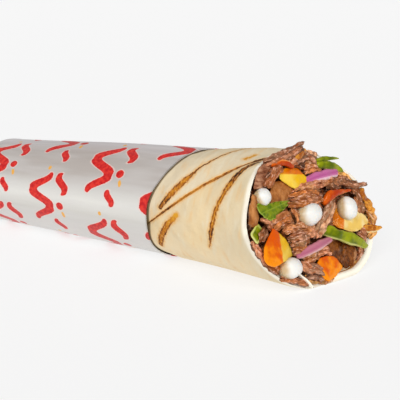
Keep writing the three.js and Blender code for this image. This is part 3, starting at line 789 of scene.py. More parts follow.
def wedge_rows(depth, rounding, taper, reach):
    """Rows over the front, its rounded edge, the sides and the back: each one's inset and drop."""
    corner = rounding / reach
    front = [(share, 0.0) for share in np.linspace(0.03, 1 - corner, 20)]
    bend = [(1 - corner * (1 - math.sin(turn)), rounding * (1 - math.cos(turn)))
            for turn in np.linspace(0, math.pi / 2, 6)[1:]]
    sides = [(1 - taper * share, lerp(rounding, depth, share)) for share in np.linspace(0, 1, 7)[1:]]
    back = [(0.8 * (1 - taper), depth + rounding / 2), (0.3, depth + rounding / 2)]
    return np.array(front + bend + sides + back).T[:, :, None]


def wedge(outline, out, depth, crease, fall=0.0, flesh=True, rounding=0.6, dome=0.3, taper=0.12, rim=0.0,
          ruffle=0.0, rough=0.14, seed=1):
    """A flat-sided chunk or a leaf: its outline (h, v), how far out it stands and its depth.

    Its front is folded along a crease between two places (h, v). The side left of the crease is
    flesh unless flesh is False, and it falls away, or the other side does where fall is negative.
    rim is a width of flesh all round.
    """
    edge, places, length = rounded_outline(outline)
    centre = edge.mean(0)
    reach = np.linalg.norm(edge - centre, axis=1).mean()
    inset, drop = wedge_rows(depth, rounding, taper, reach)
    flat = centre + (edge - centre) * inset[..., None]
    start, end = np.array(crease, float)
    dh, dv = unit(end - start)
    h, v = np.moveaxis(flat - start, -1, 0)
    beyond = dh * v - dv * h
    folded = abs(fall) * np.maximum(0, beyond * np.sign(fall))
    waves = ruffle * inset**3 * np.sin(places / length * TAU * 9 + 2 * np.sin(places / 2))
    lift = out + dome * (1 - inset**2) - drop - folded + waves
    points = np.concatenate([flat, 0 * flat[..., :1]], -1) + lift[..., None] * SIGHT
    points[..., :2] -= out * SIGHT[:2]
    outward = unit(points - points.mean((0, 1)))
    points = points + outward * (rough * lumps(points, 2.0, seed, 3))[..., None]
    skin = ease(-beyond, -0.4, 0.8) if flesh else 1.0 + 0 * beyond
    if rim:
        skin = skin * ease((1 - inset) * reach + 0 * h, rim * 0.5, rim * 0.7) * (drop < rounding)
    local = np.stack([dh * h + dv * v, beyond, -drop + 0 * h], -1)
    return skinned(keep_inside(face_points(points)), local=local, skin=skin)


def cube_grid(cells):
    """Points and faces all over a cube from -1 to 1."""
    line = np.linspace(-1, 1, cells + 1)
    a, b = np.meshgrid(line, line, indexing="ij")
    points, quads = [], []
    for axis in range(3):
        for end in (-1.0, 1.0):
            place = [a.ravel(), b.ravel()]
            place.insert(axis, np.full(a.size, end))
            quads.append(grid_quads(cells + 1, cells + 1)[:, :: int(end) * (-1) ** axis]
                         + len(quads) * a.size)
            points.append(np.stack(place, -1))
    points = np.round(np.concatenate(points), 6)
    merged, index = np.unique(points, axis=0, return_inverse=True)
    return merged, index.reshape(-1)[np.concatenate(quads)]


def dollop(at, radii, spin=0.0, seed=1):
    """A dollop of thick sauce: a ball, a little squared off, uneven and with low lumps."""
    ball, quads = cube_grid(20)
    p = lerp(unit(ball), ball, 0.08)
    uneven = 1 + 0.07 * np.sin(2.5 * p[:, 0] + 2 * p[:, 1] + at[0]) * np.cos(2 * p[:, 2])
    q = p * uneven[:, None] * radii + p * (0.3 * lumps(p * radii, 6.5, seed, 1))[:, None]
    c, s = math.cos(math.radians(spin)), math.sin(math.radians(spin))
    q = q @ np.array([[c, s, 0], [-s, c, 0], [0, 0, 1]]) + at
    return Shape(keep_inside(face_points(q)), quads, local=q, lean=p).face_out()


# ---------- Materials of the filling ----------
WARM = (1.0, 0.74, 0.42, 1.0)  # juices and oil tint what shines back


def beef_material():
    """Fibres along the grain over the colour of each strand, with painted shade in the pits between them and
    pale fibres on the raised parts, partly pale fat and partly painted highlights.
    """
    s = Shader("grilled_beef")
    grain, pit = s.vector("grain"), s.value("pit")
    fibres = s.noise(grain, 1.5, 3.0, 0.65)
    blotches = s.noise(grain, (0.4, 0.4, 1.0))
    browned = s.noise(grain, (0.455, 0.455, 0.78), 3.0, 0.6)
    level = s.fade(fibres, 0.36, 0.64, 0.7, 1.25) * s.fade(blotches, 0.35, 0.65, 0.8, 1.2)
    base = s.layers(
        s.node("VectorMath", {0: s.vector("tint"), "Scale": level}, operation="SCALE"),
        (s.fade(browned, 0.5, 0.6, 0, 0.75), (148, 72, 26)),
        # Painted shade: dark where the relief is low, in the pits.
        (s.fade(pit, -0.35, -1.1, 0, 0.45), (62, 26, 10)),
        # Pale fibres on the raised parts: partly pale fat, partly painted highlights.
        (s.fade(fibres, 0.5, 0.62, 0, 0.85) * s.fade(pit, -0.3, 0.5), (228, 180, 156)),
    )
    return s.done(Base_Color=base, Roughness=s.fade(blotches, 0.3, 0.7, 0.2, 0.42),
                  Normal=s.bump(fibres, 0.35), Specular_IOR_Level=0.4, Specular_Tint=WARM)


def pepper_material(slot, skin, deep, flesh, pith, mottle=0.16, tip=0.0):
    """Glossy skin that deepens in places and towards a tip, and grainy flesh that pales in places."""
    s = Shader(slot)
    local, shown = s.vector("local"), s.value("skin")
    broad = s.noise(local, mottle, 2.0)
    grains = s.noise(local, 1.3, 3.0, 0.6)
    near_tip = s.fade(s.parts(local)[0], 0, 11, tip, -tip)
    outside = s.mix(s.fade(broad + near_tip, 0.35, 0.65), skin, deep)
    pale = s.noise(local, 0.16, 1.0) - near_tip
    inside = s.layers(flesh, (s.fade(pale, 0.35, 0.65), pith), (s.fade(grains, 0.5, 0.75, 0, 0.3), flesh))
    return s.done(Base_Color=s.mix(shown, inside, outside), Roughness=s.fade(shown, 0, 1, 0.38, 0.17),
                  Normal=s.bump(grains, 0.1, s.bump(broad, 0.8)), Specular_IOR_Level=0.3,
                  Specular_Tint=WARM)


def onion_material(name, edge, middle, deep):
    """Lines along a ring of onion, pale at its cut edge."""
    s = Shader(name)
    local = s.vector("local")
    lines = s.noise(local, (0.05, 2.2, 1.0))
    across = s.parts(local)[1] + (lines - 0.5) * 1.6
    base = s.ramp(s.fade(across, -2.6, 2.6), (0.0, (248, 232, 226)), (0.2, edge), (0.36, middle),
                  (0.62, deep), (1.0, middle))
    return s.done(Base_Color=base, Roughness=0.2, Normal=s.bump(lines, 0.2), Specular_IOR_Level=0.25)


def sauce_material():
    """White sauce, creamy tan on its left side as painted shade, and where it turns back into the filling as
    meat juice and painted shade.
    """
    s = Shader("white_sauce")
    soft = s.noise(s.vector("local"), 0.2, 2.0)
    across, _, out = s.parts(s.vector("lean"))
    level = across * 0.75 + out + soft * 0.8
    # Painted shade: creamy tan on the left side and towards the back, away from the light on the right, with
    # meat juice at the back.
    base = s.mix(s.fade(level, 0.75, 0.0), (233, 231, 225), (204, 178, 138))
    return s.done(Base_Color=base, Roughness=0.3, Normal=s.bump(soft, 0.3), Specular_IOR_Level=0.3,
                  Subsurface_Weight=0.8, Subsurface_Radius=(1.0, 0.9, 0.8), Subsurface_Scale=0.006)


def leaf_material():
    """Veins run at a slant from the midrib, which lies on the crease of the leaf."""
    s = Shader("leaf_green")
    local = s.vector("local")
    along, side, _ = s.parts(local)
    off = abs(side)
    veins = s.fade(abs((along * 1.9 + off * 1.4).sine()), 0.04, 0.25, 0.45, 0)
    veins = veins.at_least(s.fade(off, 0.1, 0.35, 0.6, 0))
    patches = s.noise(local, 0.35)
    base = s.layers((78, 106, 6), (s.fade(patches, 0.35, 0.62), (124, 138, 14)),
                    (1.0 - s.value("skin"), (160, 184, 70)), (veins, (144, 162, 48)))
    return s.done(Base_Color=base, Roughness=0.32, Normal=s.bump(patches, 0.6), Specular_IOR_Level=0.3,
                  Specular_Tint=WARM)


def slice_material(name, dark, middle, light, along=0.16, across=0.9):
    """A smooth cut side of beef, streaked along its grain: along and across it, spots for each mm."""
    s = Shader(name)
    local = s.vector("local")
    grain = s.noise(local, (along, across, across), 4.0, 0.65)
    broad = s.noise(local, 0.17)
    specks = s.noise(local, 1.4, 2.0)
    base = s.layers(
        s.ramp(grain * 0.5 + broad * 0.5, (0.36, dark), (0.48, middle), (0.62, light)),
        (s.fade(specks, 0.62, 0.74, 0, 0.5), light),
        (1.0 - s.value("skin"), (206, 150, 104)),
    )
    return s.done(Base_Color=base, Roughness=s.fade(broad, 0.3, 0.7, 0.16, 0.34),
                  Normal=s.bump(grain, 0.3, s.bump(broad, 1.2)), Specular_IOR_Level=0.4,
                  Specular_Tint=WARM)


# ---------- Bread and toppings ----------
# Places along the middle of a strip are (h, v, out, width), and an outline's are (h, v)
INNER_END = ((-19, -23.4, -0.8, 0.6), (-17, -25.4, 0.2, 0.8), (-13.9, -28.8, 0.4, 1.0), (-10.2, -33, 0, 1.1))
DOLLOPS = {  # middle, radii and spin in degrees
    "middle": ((-2.2, -1.6, 2.4), (7.0, 5.1, 5.0), -8),
    "left": ((-27.2, 11.0, 0.8), (4.2, 3.9, 3.6), 10),
    "right": ((24.8, -4.4, 2.1), (5.4, 5.7, 4.3), -12),
    "low": ((-20.8, -21.4, 0.3), (5.8, 4.4, 4.4), -10),
}
ONIONS = {  # colours of the edge, the middle and the deeper parts, and the path
    "upper": (((240, 206, 214), (200, 112, 160), (174, 72, 134)),
              ((1.5, 12.8, 1.5, 3.4), (8, 13.5, 2.6, 4.2), (16, 13.4, 2.6, 4.6), (25, 13, 1.6, 4.4))),
    "lower": (((226, 182, 180), (196, 124, 138), (172, 88, 116)),
              ((-16.5, -17.6, 1, 2.2), (-9.5, -17, 2.2, 4), (-1.5, -16.2, 2.4, 4.2), (9, -15.4, 1, 2.6))),
}
PEPPERS = {  # slot, colours of the skin, its deeper parts, the flesh and its paler parts, and the rest
    "orange": ("pepper_orange", ((246, 142, 6), (216, 84, 0), (242, 188, 30), (246, 208, 84)),
               dict(tip=0.14)),
    "yellow": ("pepper_yellow", ((234, 136, 6), (220, 108, 4), (234, 182, 20), (244, 206, 76)),
               dict(tip=0.14)),
    "yellow_pale": ("pepper_yellow", ((230, 148, 30), (214, 110, 8), (236, 196, 98), (246, 224, 162)),
                    dict(tip=-0.1)),
    "golden": ("pepper_orange", ((224, 152, 56), (160, 84, 22), (232, 188, 110), (244, 222, 164)),
               dict(mottle=0.5)),
    "green": ("pepper_green", ((148, 156, 12), (84, 100, 2), (190, 196, 84), (214, 214, 130)),
              dict(tip=0.06)),
    "red": ("pepper_red", ((208, 88, 10), (176, 50, 4), (236, 140, 60), (244, 176, 104)), {}),
}
PEPPER_STRIPS = (  # node, pepper, thickness, roll in degrees, edge that shows flesh, roughness, path
    ("strip_green_lower", "green", 2.6, 8, -1, 0.14, (
        (4, -10.4, 0.5, 4.0), (8.5, -12, 2.0, 5.6), (12.5, -14.4, 2.6, 5.0), (21.5, -18.5, 2.8, 5.4),
        (27.5, -21.6, 2.2, 4.6), (33.5, -25, 1.0, 1.8))),
    ("strip_green_upper", "green", 2.4, 12, -1, 0.14, (
        (11, 19.4, 0.6, 2.6), (16, 18, 2.0, 3.6), (23, 16.4, 2.4, 3.6), (29.5, 12.8, 1.6, 1.8))),
    ("tip_green_upper", "green", 1.6, 10, -1, 0.14, (
        (12, 20.6, 0.8, 1.4), (17, 20.8, 2.2, 2.0), (22, 20.2, 3.0, 1.8), (27, 19.2, 3.4, 0.8))),
    ("strip_red_top", "red", 1.8, 35, 1, 0.14, (
        (-17.5, 23.6, 1.2, 1.6), (-13, 23.8, 2.4, 2.5), (-8.5, 22.8, 2.6, 2.7), (-4, 20.4, 2.0, 1.8))),
    ("strip_red_right", "red", 2.2, 6, -1, 0.14, (
        (9.5, 0.4, 1.6, 2.4), (12.5, 3, 3, 4.4), (18, 4, 3.4, 3.4), (24, 3.8, 3.2, 2.2), (30, 3.4, 2.6, 1))),
    ("bit_orange_top", "golden", 2.2, 20, -1, 0.14, (
        (-2.5, 23.6, 1.4, 2.4), (1, 25, 2.4, 3.6), (6.2, 26.8, 2.6, 2.0))),
    ("strip_orange_right", "golden", 2.2, -5, -1, 0.3, (
        (33.5, -15.8, 1.0, 3.2), (37.5, -17, 2.2, 4.2), (40.5, -17.6, 3.6, 2.8), (43.5, -18.4, 5.0, 0.8))),
    ("band_right", "golden", 1.8, -12, 1, 0.7, (
        (38, 2.4, 1.0, 2.2), (40.2, -1.6, 1.9, 3.6), (41.4, -6.4, 2.0, 4.6), (42, -11.4, 1.8, 4.6),
        (41, -15.6, 1.2, 3.4))),
)
PEPPER_CHUNKS = (  # node, pepper, outline and the rest of what wedge() takes
    ("chunk_yellow", "yellow", (
        (-12.5, 20.6), (-9.5, 21), (-4.5, 20.2), (-1, 19.4), (0.5, 16.5), (3.6, 13), (2, 11.9), (-7, 10.8),
        (-10, 12.2), (-15.2, 16.4), (-15, 19)),
     dict(out=2.6, depth=6, crease=((0.5, 16), (-15, 19)), fall=-0.5)),
    ("chunk_left", "orange", (
        (-28, -2.6), (-26, -4), (-21.6, -9), (-19.6, -13.2), (-18.8, -17), (-25, -17.6), (-33, -18.6),
        (-36.4, -16.8), (-38.2, -14.4), (-36, -9), (-31.4, -5.4)),
     dict(out=2.8, depth=7, crease=((-25, -6.5), (-27, -18)), fall=0.5)),
    ("chunk_right", "yellow_pale", (
        (9.6, -7.6), (14, -4.4), (18, -1), (23.5, -2), (29, -7), (34.5, -7.6), (37.6, -10.4), (39.5, -13.4),
        (37, -15.6), (29.5, -16.4), (23.5, -15.6), (16, -12)),
     dict(out=1.8, depth=6, crease=((25, -2), (18.8, -14)), fall=-0.4)),
    ("chunk_low", "orange", (
        (-7.6, -24.6), (-1, -21.4), (6.4, -22.8), (9.2, -25), (12, -29.4), (4, -32.6), (-0.5, -33.2),
        (-2.6, -32), (-5.6, -28)),
     dict(out=1.8, depth=6, crease=((4, -20), (0, -34)), flesh=False)),
    ("piece_green_left", "green", ((-34, 1.6), (-31.2, -3), (-37.4, -7.8), (-40, -2.4)),
     dict(out=0.8, depth=2, crease=((-35, 2), (-37, -8)), fall=0.25, flesh=False, rim=1.2, rounding=0.4)),
)
LEAF = ((-34, 8.4), (-31, 9.4), (-27, 7.8), (-20.5, 7.6), (-12.4, 6.6), (-15.4, 4.6), (-20, 2.8), (-22.4, 1),
        (-25, 1), (-28, 0.4), (-31, 2.2), (-33, 5))
BEEF_SLICES = (  # node, material, outline and the rest of what wedge() takes
    ("top", "smooth", (
        (-31.6, 15.4), (-29.6, 19.4), (-24.6, 24), (-20, 25), (-14.5, 23.6), (-12, 21), (-15, 17.6),
        (-19.5, 15.4), (-25, 14.6)),
     dict(out=0.6, depth=4, crease=((-20, 10), (-34, 14)), flesh=False)),
    ("middle", "tan", (
        (-21, 14), (-19.5, 16.4), (-13.5, 16), (-10.5, 14.5), (-6, 11), (-9, 8), (-13, 5.6), (-20.5, 6.2),
        (-23.4, 7), (-23, 10.5)),
     dict(out=1.2, depth=4, crease=((-6.5, 11), (-17.5, 4.6)), fall=0.8)),
    ("low", "dark", (
        (4, -18.4), (8, -17), (13, -16), (22.5, -19.5), (27.4, -25.5), (27, -29), (20, -31.4), (15, -30.5),
        (11.5, -26.5), (6, -21.5)),
     dict(out=0.2, depth=5, crease=((27, -21), (20, -32)), fall=0.3, rough=0.45)),
)
SLICE_LEFT = ((-31, 13, 0.2, 4.4), (-33, 8, 0.4, 5.8), (-34.5, 4, 0.2, 5.8), (-36, 0, -0.4, 4.2))


def add_bread():
    """The rolled sheet, and the pale line of its inner end, which rises out of the bottom of the rim."""
    material = bread_material()
    add_piece("bread", bread_shape(), material, "flatbread", "flatbread")
    add_piece("bread_inner_end", strip(INNER_END, 2.0, cut=(), rough=0.08), material, "flatbread")


def add_sauce_and_onion():
    sauce = sauce_material()
    for i, (key, (at, radii, spin)) in enumerate(DOLLOPS.items()):
        shape = dollop(at, radii, spin, seed=40 + i)
        add_piece("sauce_" + key, shape, sauce, "white_sauce", "sauce_dollop_" + key)
    for key, (colours, path) in ONIONS.items():
        onion = onion_material("red_onion_" + key, *colours)
        shape = strip(path, 2.2, roll=14, cup=0.5, cut=())
        add_piece("onion_" + key, shape, onion, "red_onion", "onion_strip_" + key)


def add_peppers():
    materials = {key: pepper_material("pepper_" + key, *colours, **more)
                 for key, (_, colours, more) in PEPPERS.items()}
    shapes = [(node, key, strip(path, thick, roll, cup=0.3, cut=(cut,), rough=rough, seed=60 + i))
              for i, (node, key, thick, roll, cut, rough, path) in enumerate(PEPPER_STRIPS)]
    shapes += [(node, key, wedge(outline, seed=80 + i, **more))
               for i, (node, key, outline, more) in enumerate(PEPPER_CHUNKS)]
    for node, key, shape in shapes:
        add_piece(f"pepper_{node}_cut", shape, materials[key], PEPPERS[key][0], "pepper_" + node)


def add_leaf():
    shape = wedge(LEAF, 2.8, 0.5, ((-12.4, 6.6), (-32, 4.6)), fall=-0.25, flesh=False, rounding=0.25,
                  rim=0.35, ruffle=0.6, rough=0.3)
    add_piece("herb", shape, leaf_material(), "leaf_green", "herb_leaf")


def add_slices():
    materials = {
        "smooth": slice_material("sliced_beef", (84, 40, 24), (144, 88, 60), (206, 154, 120), 0.25, 0.8),
        "tan": slice_material("sliced_beef_pale", (122, 62, 22), (158, 92, 40), (192, 126, 70), 0.3, 0.45),
        "dark": slice_material("sliced_beef_dark", (42, 16, 2), (86, 38, 6), (150, 84, 30), 0.5, 0.5),
    }
    shapes = [(node, key, wedge(outline, seed=90 + i, **more))
              for i, (node, key, outline, more) in enumerate(BEEF_SLICES)]
    shapes.append(("left", "tan", strip(SLICE_LEFT, 2.8, -15, cut=())))
    for node, key, shape in shapes:
        add_piece(f"beef_slice_{node}_cut", shape, materials[key], "sliced_beef", "beef_slice_" + node)


# ---------- Beef ----------
# The seeded strips: how many, their seed, and the middle and reach (h, v) of where they lie; then
# how wide a strand is, and its rows and sides
MEAT = Sizes(count=34, seed=5, middle=(2, -3), reach=(38, 27), strand=2.25, rows=26, sides=14)
# The strand under a strip, darkened as painted shade: what share of the strip's size, place and colour it
# has
UNDER = Sizes(deeper=0.25, wide=0.92, thick=0.7, shade=0.62, rows=18, sides=14)
PALE_STRAND = (222, 164, 122)  # each strand takes on a little of it
TINTS = {"pink": (184, 118, 84), "tan": (182, 116, 68), "brown": (142, 80, 44), "orange": (176, 98, 42),
         "dark": (84, 40, 18), "grey": (152, 106, 82), "gold": (206, 146, 70), "pale": (210, 156, 116)}
# Tint, width, thickness, roll in degrees and the places (h, v, out) along each strip
MEAT_STRIPS = (
    ("pink", 4.4, 3.0, 10, ((-19.5, 25, 0.5), (-13, 26.2, 2.2), (-5, 27.2, 3), (2.8, 29, 3.8))),
    ("brown", 3.6, 2.6, -8, ((-17, 24.6, 1), (-9.5, 25.4, 2), (-2, 26.4, 2.4), (4.4, 27.4, 3.4))),
    ("orange", 2.9, 2.2, 0, ((-9, 24, 1), (-4.5, 24.4, 1.5), (-1, 25, 1.2))),
    ("grey", 2.9, 2.2, 0, ((-6, 21.6, 1), (-1.5, 22.6, 1.6), (3.5, 22.6, 1.4))),
    ("dark", 2.7, 2.2, 0, ((-3, 21.2, 0.5), (1, 20.6, 1), (4.5, 18.6, 0.6))),
    ("grey", 2.9, 2.4, 0, ((3, 22, 1), (7, 23.6, 1.8), (10.5, 21.5, 1.5), (11.5, 18.8, 1))),
    ("tan", 3.7, 2.6, 10, ((4, 19.6, 0.6), (8.5, 20, 1.2), (12, 17.6, 0.8))),
    ("tan", 3.2, 2.4, 0, ((4, 16.8, 0.6), (9, 17.8, 1.2), (14.5, 16.6, 0.8))),
    ("brown", 4.4, 2.8, 5, ((-12.4, 21.8, 1.4), (-16.6, 20.4, 2.2), (-20.6, 17.6, 2.2), (-24, 15, 1.4))),
    ("pink", 3.4, 2.6, 0, ((-6.5, 10.6, 1), (2, 10.6, 2.4), (9.5, 10.4, 2.4), (16, 9.6, 1.2))),
    ("tan", 3.4, 2.8, 8, ((-8.5, 9.4, 1.4), (-1, 8.8, 2.8), (4, 8.2, 2.8), (10.5, 7.6, 1.6))),
    ("orange", 3.7, 2.8, -5, ((-10.5, 7.8, 1.4), (-4, 7.4, 3), (1.5, 6.8, 3), (5.5, 5.4, 2))),
    ("brown", 3.2, 2.6, 0, ((-12.5, 6.2, 1.6), (-4.5, 5.6, 3.2), (2, 5, 3.2), (7, 4.2, 1.8))),
    ("orange", 3.2, 2.4, 0, ((-14.5, 5.2, 1.6), (-6.5, 3.6, 3.2), (0, 3.2, 3.4), (7, 3.4, 2.2))),
    ("brown", 5.1, 3.2, 12, ((16.5, 10, 1), (19.5, 8.8, 2), (23, 6.6, 1))),
    ("orange", 2.9, 2.4, 0, ((11, 10.6, 1.2), (14, 10, 1.8), (18, 9.2, 1.2))),
    ("brown", 3.9, 2.8, 0, ((22.5, 9.4, 0.4), (27.5, 9, 1.4), (33, 5.2, 0.8))),
    ("grey", 2.9, 2.4, 0, ((27.5, 8.6, 1), (30, 7, 1.8), (33.5, 4.6, 1.2))),
    ("grey", 2.1, 2.0, 0, ((29.5, 5.2, 1.4), (36.5, 4.6, 3), (42.5, 3.8, 4))),
    ("gold", 3.7, 2.6, 0, ((25, 12.4, 0.4), (30, 10.6, 1.2), (35, 6.4, 0.8))),
    ("brown", 4.4, 2.8, 0, ((34, 3.8, 0.6), (37, 0.6, 1.2), (38, -4.5, 0.8))),
    ("tan", 4.6, 2.8, 0, ((35.5, -1.5, 0.6), (36.4, -6, 1.2), (34, -9, 0.6))),
    ("pale", 4.8, 3.0, 4,
     ((17.6, 1.4, 1.6), (13, -1.4, 3), (7.2, -5.4, 3), (2.6, -8.6, 2.6), (-0.8, -12.4, 1))),
    ("pink", 3.6, 2.8, 0, ((-38, -6.4, -1.4), (-36.4, -10.6, -0.8), (-34.4, -14.4, -1))),
    ("orange", 3.4, 2.6, 0, ((-34.6, -14.8, -1.4), (-32, -18, -0.8), (-27.2, -21.4, -1))),
    ("brown", 3.0, 2.4, 0, ((-35.4, -6.6, 1.0), (-33.4, -4.6, 1.8), (-31.6, -2, 1.2))),
    ("pink", 3.7, 2.6, 0, ((-31, 2.4, 0.4), (-27.5, 0.6, 1.2), (-26.8, -2.6, 0.6))),
    ("orange", 4.9, 3.2, 0, ((-26.5, -2, 0.6), (-21.5, 0, 2), (-16.5, 0.4, 2), (-12, -1.2, 0.8))),
    ("tan", 3.4, 2.6, 0, ((-24.5, -3.4, 0.4), (-19, -2.2, 1.4), (-13.5, -2.2, 0.6))),
    ("tan", 3.7, 2.8, 6, ((-20.5, -5.6, 1), (-15.5, -5.2, 2.4), (-10, -6.2, 1.4))),
    ("pink", 4.1, 3.0, 0, ((-17.6, -9, 0.6), (-12.4, -9.2, 2), (-6.5, -10.2, 1.2))),
    ("tan", 4.1, 3.0, 0, ((-17, -11, 0.6), (-12, -11.8, 2), (-5, -12.2, 1.2))),
    ("orange", 3.7, 2.8, 0, ((-16, -13.6, 0.6), (-12.4, -14, 1.8), (-7.5, -14.6, 1))),
    ("tan", 4.4, 3.0, 0, ((-11, -5.6, 0.8), (-6, -7.4, 2), (0, -9, 1))),
    ("pink", 4.1, 3.0, 0, ((-8.5, -8.8, 0.8), (-3, -10, 1.8), (1, -12, 1))),
    ("pink", 3.7, 2.8, 0, ((-16.6, -15.4, 0.4), (-14, -15.8, 1.2), (-11, -16.2, 0.6))),
    ("tan", 3.7, 2.8, 0, ((-11.4, 3, 1), (-9.8, -1, 1.8), (-9.6, -4, 1))),
    ("tan", 4.1, 3.0, 0, ((-12.5, -19.8, 0.4), (-7, -20, 1.4), (-1, -20, 0.6))),
    ("pink", 3.9, 2.8, 0, ((-14.5, -21.6, 0.6), (-12, -24, 1.2), (-9, -25.4, 0.6))),
    ("grey", 6.1, 3.0, 0, ((-13, -25, 0.4), (-7, -26.6, 1.4), (-1.5, -30.4, 0.6))),
    ("pink", 3.2, 2.6, 0, ((-3, -19.4, 0.8), (2.5, -19.4, 1.8), (5.4, -21.4, 0.8))),
    ("gold", 3.2, 2.2, 0, ((-12.6, -28.2, -0.6), (-6, -30.8, 0.4), (1, -32.2, 0.5), (7, -31.6, -0.2))),
    ("pink", 4.9, 3.0, 0, ((31.4, -16.4, 0), (33, -18.6, 0.8), (35, -21, 0))),
    ("gold", 3.6, 2.4, 0, ((39.6, -9, 1.4), (41.4, -12.4, 2.8), (40.8, -16.4, 2.4))),
    ("gold", 3.6, 2.4, 0, ((41.6, -15.4, 1.4), (40, -18.6, 2.2), (36, -21.4, 1.6))),
    ("brown", 3.2, 2.4, 0, ((23.6, 9, 1), (30, 7, 2), (37, 4.8, 2.6))),
    ("brown", 3.6, 2.8, 0, ((28.6, -22.8, 0.2), (28.4, -26.4, 0.8), (25, -29.6, 0.2))),
    ("pale", 2.8, 2.0, 0, ((6, 25.2, 0), (10.6, 24.4, 0.6), (15.6, 22.2, 0.2))),
)


def meat_strand(path, wide, thick, roll, tint, seed, rows=MEAT.rows, sides=MEAT.sides):
    """A torn strand of beef with ridges along its grain and ragged ends."""
    random = np.random.default_rng(seed)
    line = swept([(*place, wide) for place in path], rows, thick, roll, wide * 0.4)
    t = line.t
    angle = np.linspace(0, TAU, sides + 1)[None, :-1]
    ridges = np.zeros((rows, sides))
    for k in (2, 3, 5):
        height, twist = random.uniform(0.4, 0.8), random.uniform(-4, 4)
        ridges += height * np.sin(k * angle + twist * t + random.uniform(0, TAU))
    full = lerp(0.5, 1, np.sin(math.pi * t) ** 0.5) * line.cap
    full = full * (1 + 0.2 * np.sin(random.uniform(6, 14) * t + random.uniform(0, TAU)))
    fray = (1 - np.minimum(t, 1 - t) / 0.2).clip(0) * np.where(t < 0.5, -1, 1)
    fray = fray * random.uniform(0.2, 0.5) * thick * np.sin(3 * angle + random.uniform(0, TAU))
    c, s = np.cos(angle), np.sin(angle)
    points = (line.middle + line.side * (line.wide * full * c)[..., None]
              + line.top * (line.thick * full * s)[..., None] + line.tangent * fray[..., None])
    outward = unit(line.side * c[..., None] + line.top * s[..., None])
    grain = np.stack([line.wide * c, line.thick * s + 0 * t, 0.4 * line.along + 0 * c], -1) + seed * 3.7
    crumble = lumps(grain * np.array([1, 1, 1.8]), 1.1, seed + 1, 2)
    points = points + outward * ((0.06 * ridges + 0.13 * crumble) * thick * line.cap)[..., None]
    # Painted light and shade: each strand's colour is lighter on the bumps of its relief and darker in its
    # dips, and pit carries the relief for the painted shade in the material.
    tints = np.array(colour(*tint)[:3]) * (1 + 0.2 * crumble)[..., None]
    pit = 0.5 * ridges + 0.5 * crumble
    return skinned(keep_inside(face_points(points)), grain=grain, tint=tints, pit=pit)


def meat_strip(path, wide, thick, roll, tint, seed):
    """A strip of beef pulled into strands side by side, with one under them that is darkened as painted
    shade.
    """
    random = np.random.default_rng(seed)
    places = np.array(path, float)
    run = places[-1] - places[0]
    across = np.array([-run[1], run[0], 0]) / math.hypot(run[0], run[1])
    tint = np.array(tint, float)
    # The strand under the others is darkened as painted shade.
    under = places - [0, 0, UNDER.deeper * thick]
    strands = [meat_strand(under, wide * UNDER.wide, thick * UNDER.thick, roll, tint * UNDER.shade, seed,
                           UNDER.rows, UNDER.sides)]
    count = max(2, round(wide / MEAT.strand))
    for k in range(count):
        off = (k + 0.5) / count - 0.5 + random.uniform(-0.08, 0.08)
        strand = places + across * off * wide + random.uniform(-0.3, 0.3, places.shape)
        strand += across * (places - places.mean(0)) @ run[:, None] / (run @ run) * random.uniform(-1, 1)
        strand[:, 2] += thick * (0.28 - 1.3 * off * off) + off * wide * math.tan(math.radians(roll))
        strand[0] -= run * random.uniform(-0.08, 0.1)
        strand[-1] += run * random.uniform(-0.08, 0.1)
        shade = tint * random.choice([0.72, 0.9, 1.06, 1.18])
        shade = np.minimum(lerp(shade, np.array(PALE_STRAND), random.uniform(0, 0.3)), 245)
        strand_wide = wide / count * random.uniform(1.1, 1.5)
        strand_thick = thick * random.uniform(0.5, 0.75)
        strands.append(meat_strand(strand, strand_wide, strand_thick, roll, shade, seed * 7 + k))
    return joined(strands)


def seeded_strips():
    """Strips that fill the face between those listed, a little deeper."""
    random = np.random.default_rng(MEAT.seed)
    palette = np.array([TINTS[name] for name in ("pink", "tan", "brown", "orange", "dark", "grey")], float)
    shapes = []
    for i in range(MEAT.count):
        spread = math.sqrt((i + 0.5) / MEAT.count)
        angle = i * math.pi * (3 - math.sqrt(5))
        h = MEAT.middle[0] + MEAT.reach[0] * spread * math.cos(angle)
        v = MEAT.middle[1] + MEAT.reach[1] * spread * math.sin(angle)
        heading = 0.2 + 1.8 * random.uniform(-0.5, 0.5)
        dh, dv = np.array([math.cos(heading), math.sin(heading)]) * random.uniform(5, 9)
        out = min(front_of(h, v), 0.4) - 1.2 + random.uniform(-0.4, 0.4)
        path = ((h - dh, v - dv, out - 0.8), (h, v, out + 0.4), (h + dh, v + dv, out - 0.8))
        tint = lerp(*palette[random.integers(len(palette), size=2)], 0.5)
        shapes.append(meat_strip(path, random.uniform(3.6, 5.2), random.uniform(2.4, 3.2),
                                 random.uniform(-25, 25), tint, 300 + i))
    return shapes


def meat_core():
    """The mass under the strips, from the tucked tail to a craggy front, dark brown as painted shade in the
    gaps between them.
    """
    along = np.concatenate([np.linspace(0.06, 1, 16), np.linspace(1, 1.94, 20)[1:]])[:, None]
    turn = np.linspace(BREAD.start, BREAD.start + 360, 121)[None, :-1]
    angle = np.radians(turn)
    x, bend = bread_station(along, angle, rim_at(angle))
    rings = roll_points(x, bend, angle, inside_depth(x, bend, angle) + CLEARANCE)
    edge = face_places(rings[-1])
    inward = np.linspace(0.04, 0.98, 26)[:, None]
    h, v = edge[None, :, 0] * (1 - inward), edge[None, :, 1] * (1 - inward)
    out = lerp(edge[None, :, 2], front_of(h, v) - 0.8, np.minimum(1, 2.2 * inward))
    front = face_points(np.stack([h, v, out], -1))
    crags = lumps(front, 2.4, 7, 3)
    rings = np.concatenate([rings, front + FACE_OUT * (0.7 * crags)[..., None]])
    # Painted shade: the core's crags are set deeper into the dark pits, and the core takes the dark tint.
    pit = np.concatenate([np.zeros((len(rings) - len(crags), crags.shape[1])), crags - 0.3])
    tints = np.broadcast_to(colour(*TINTS["dark"])[:3], rings.shape)
    return skinned(rings, grain=rings, tint=tints, pit=pit)


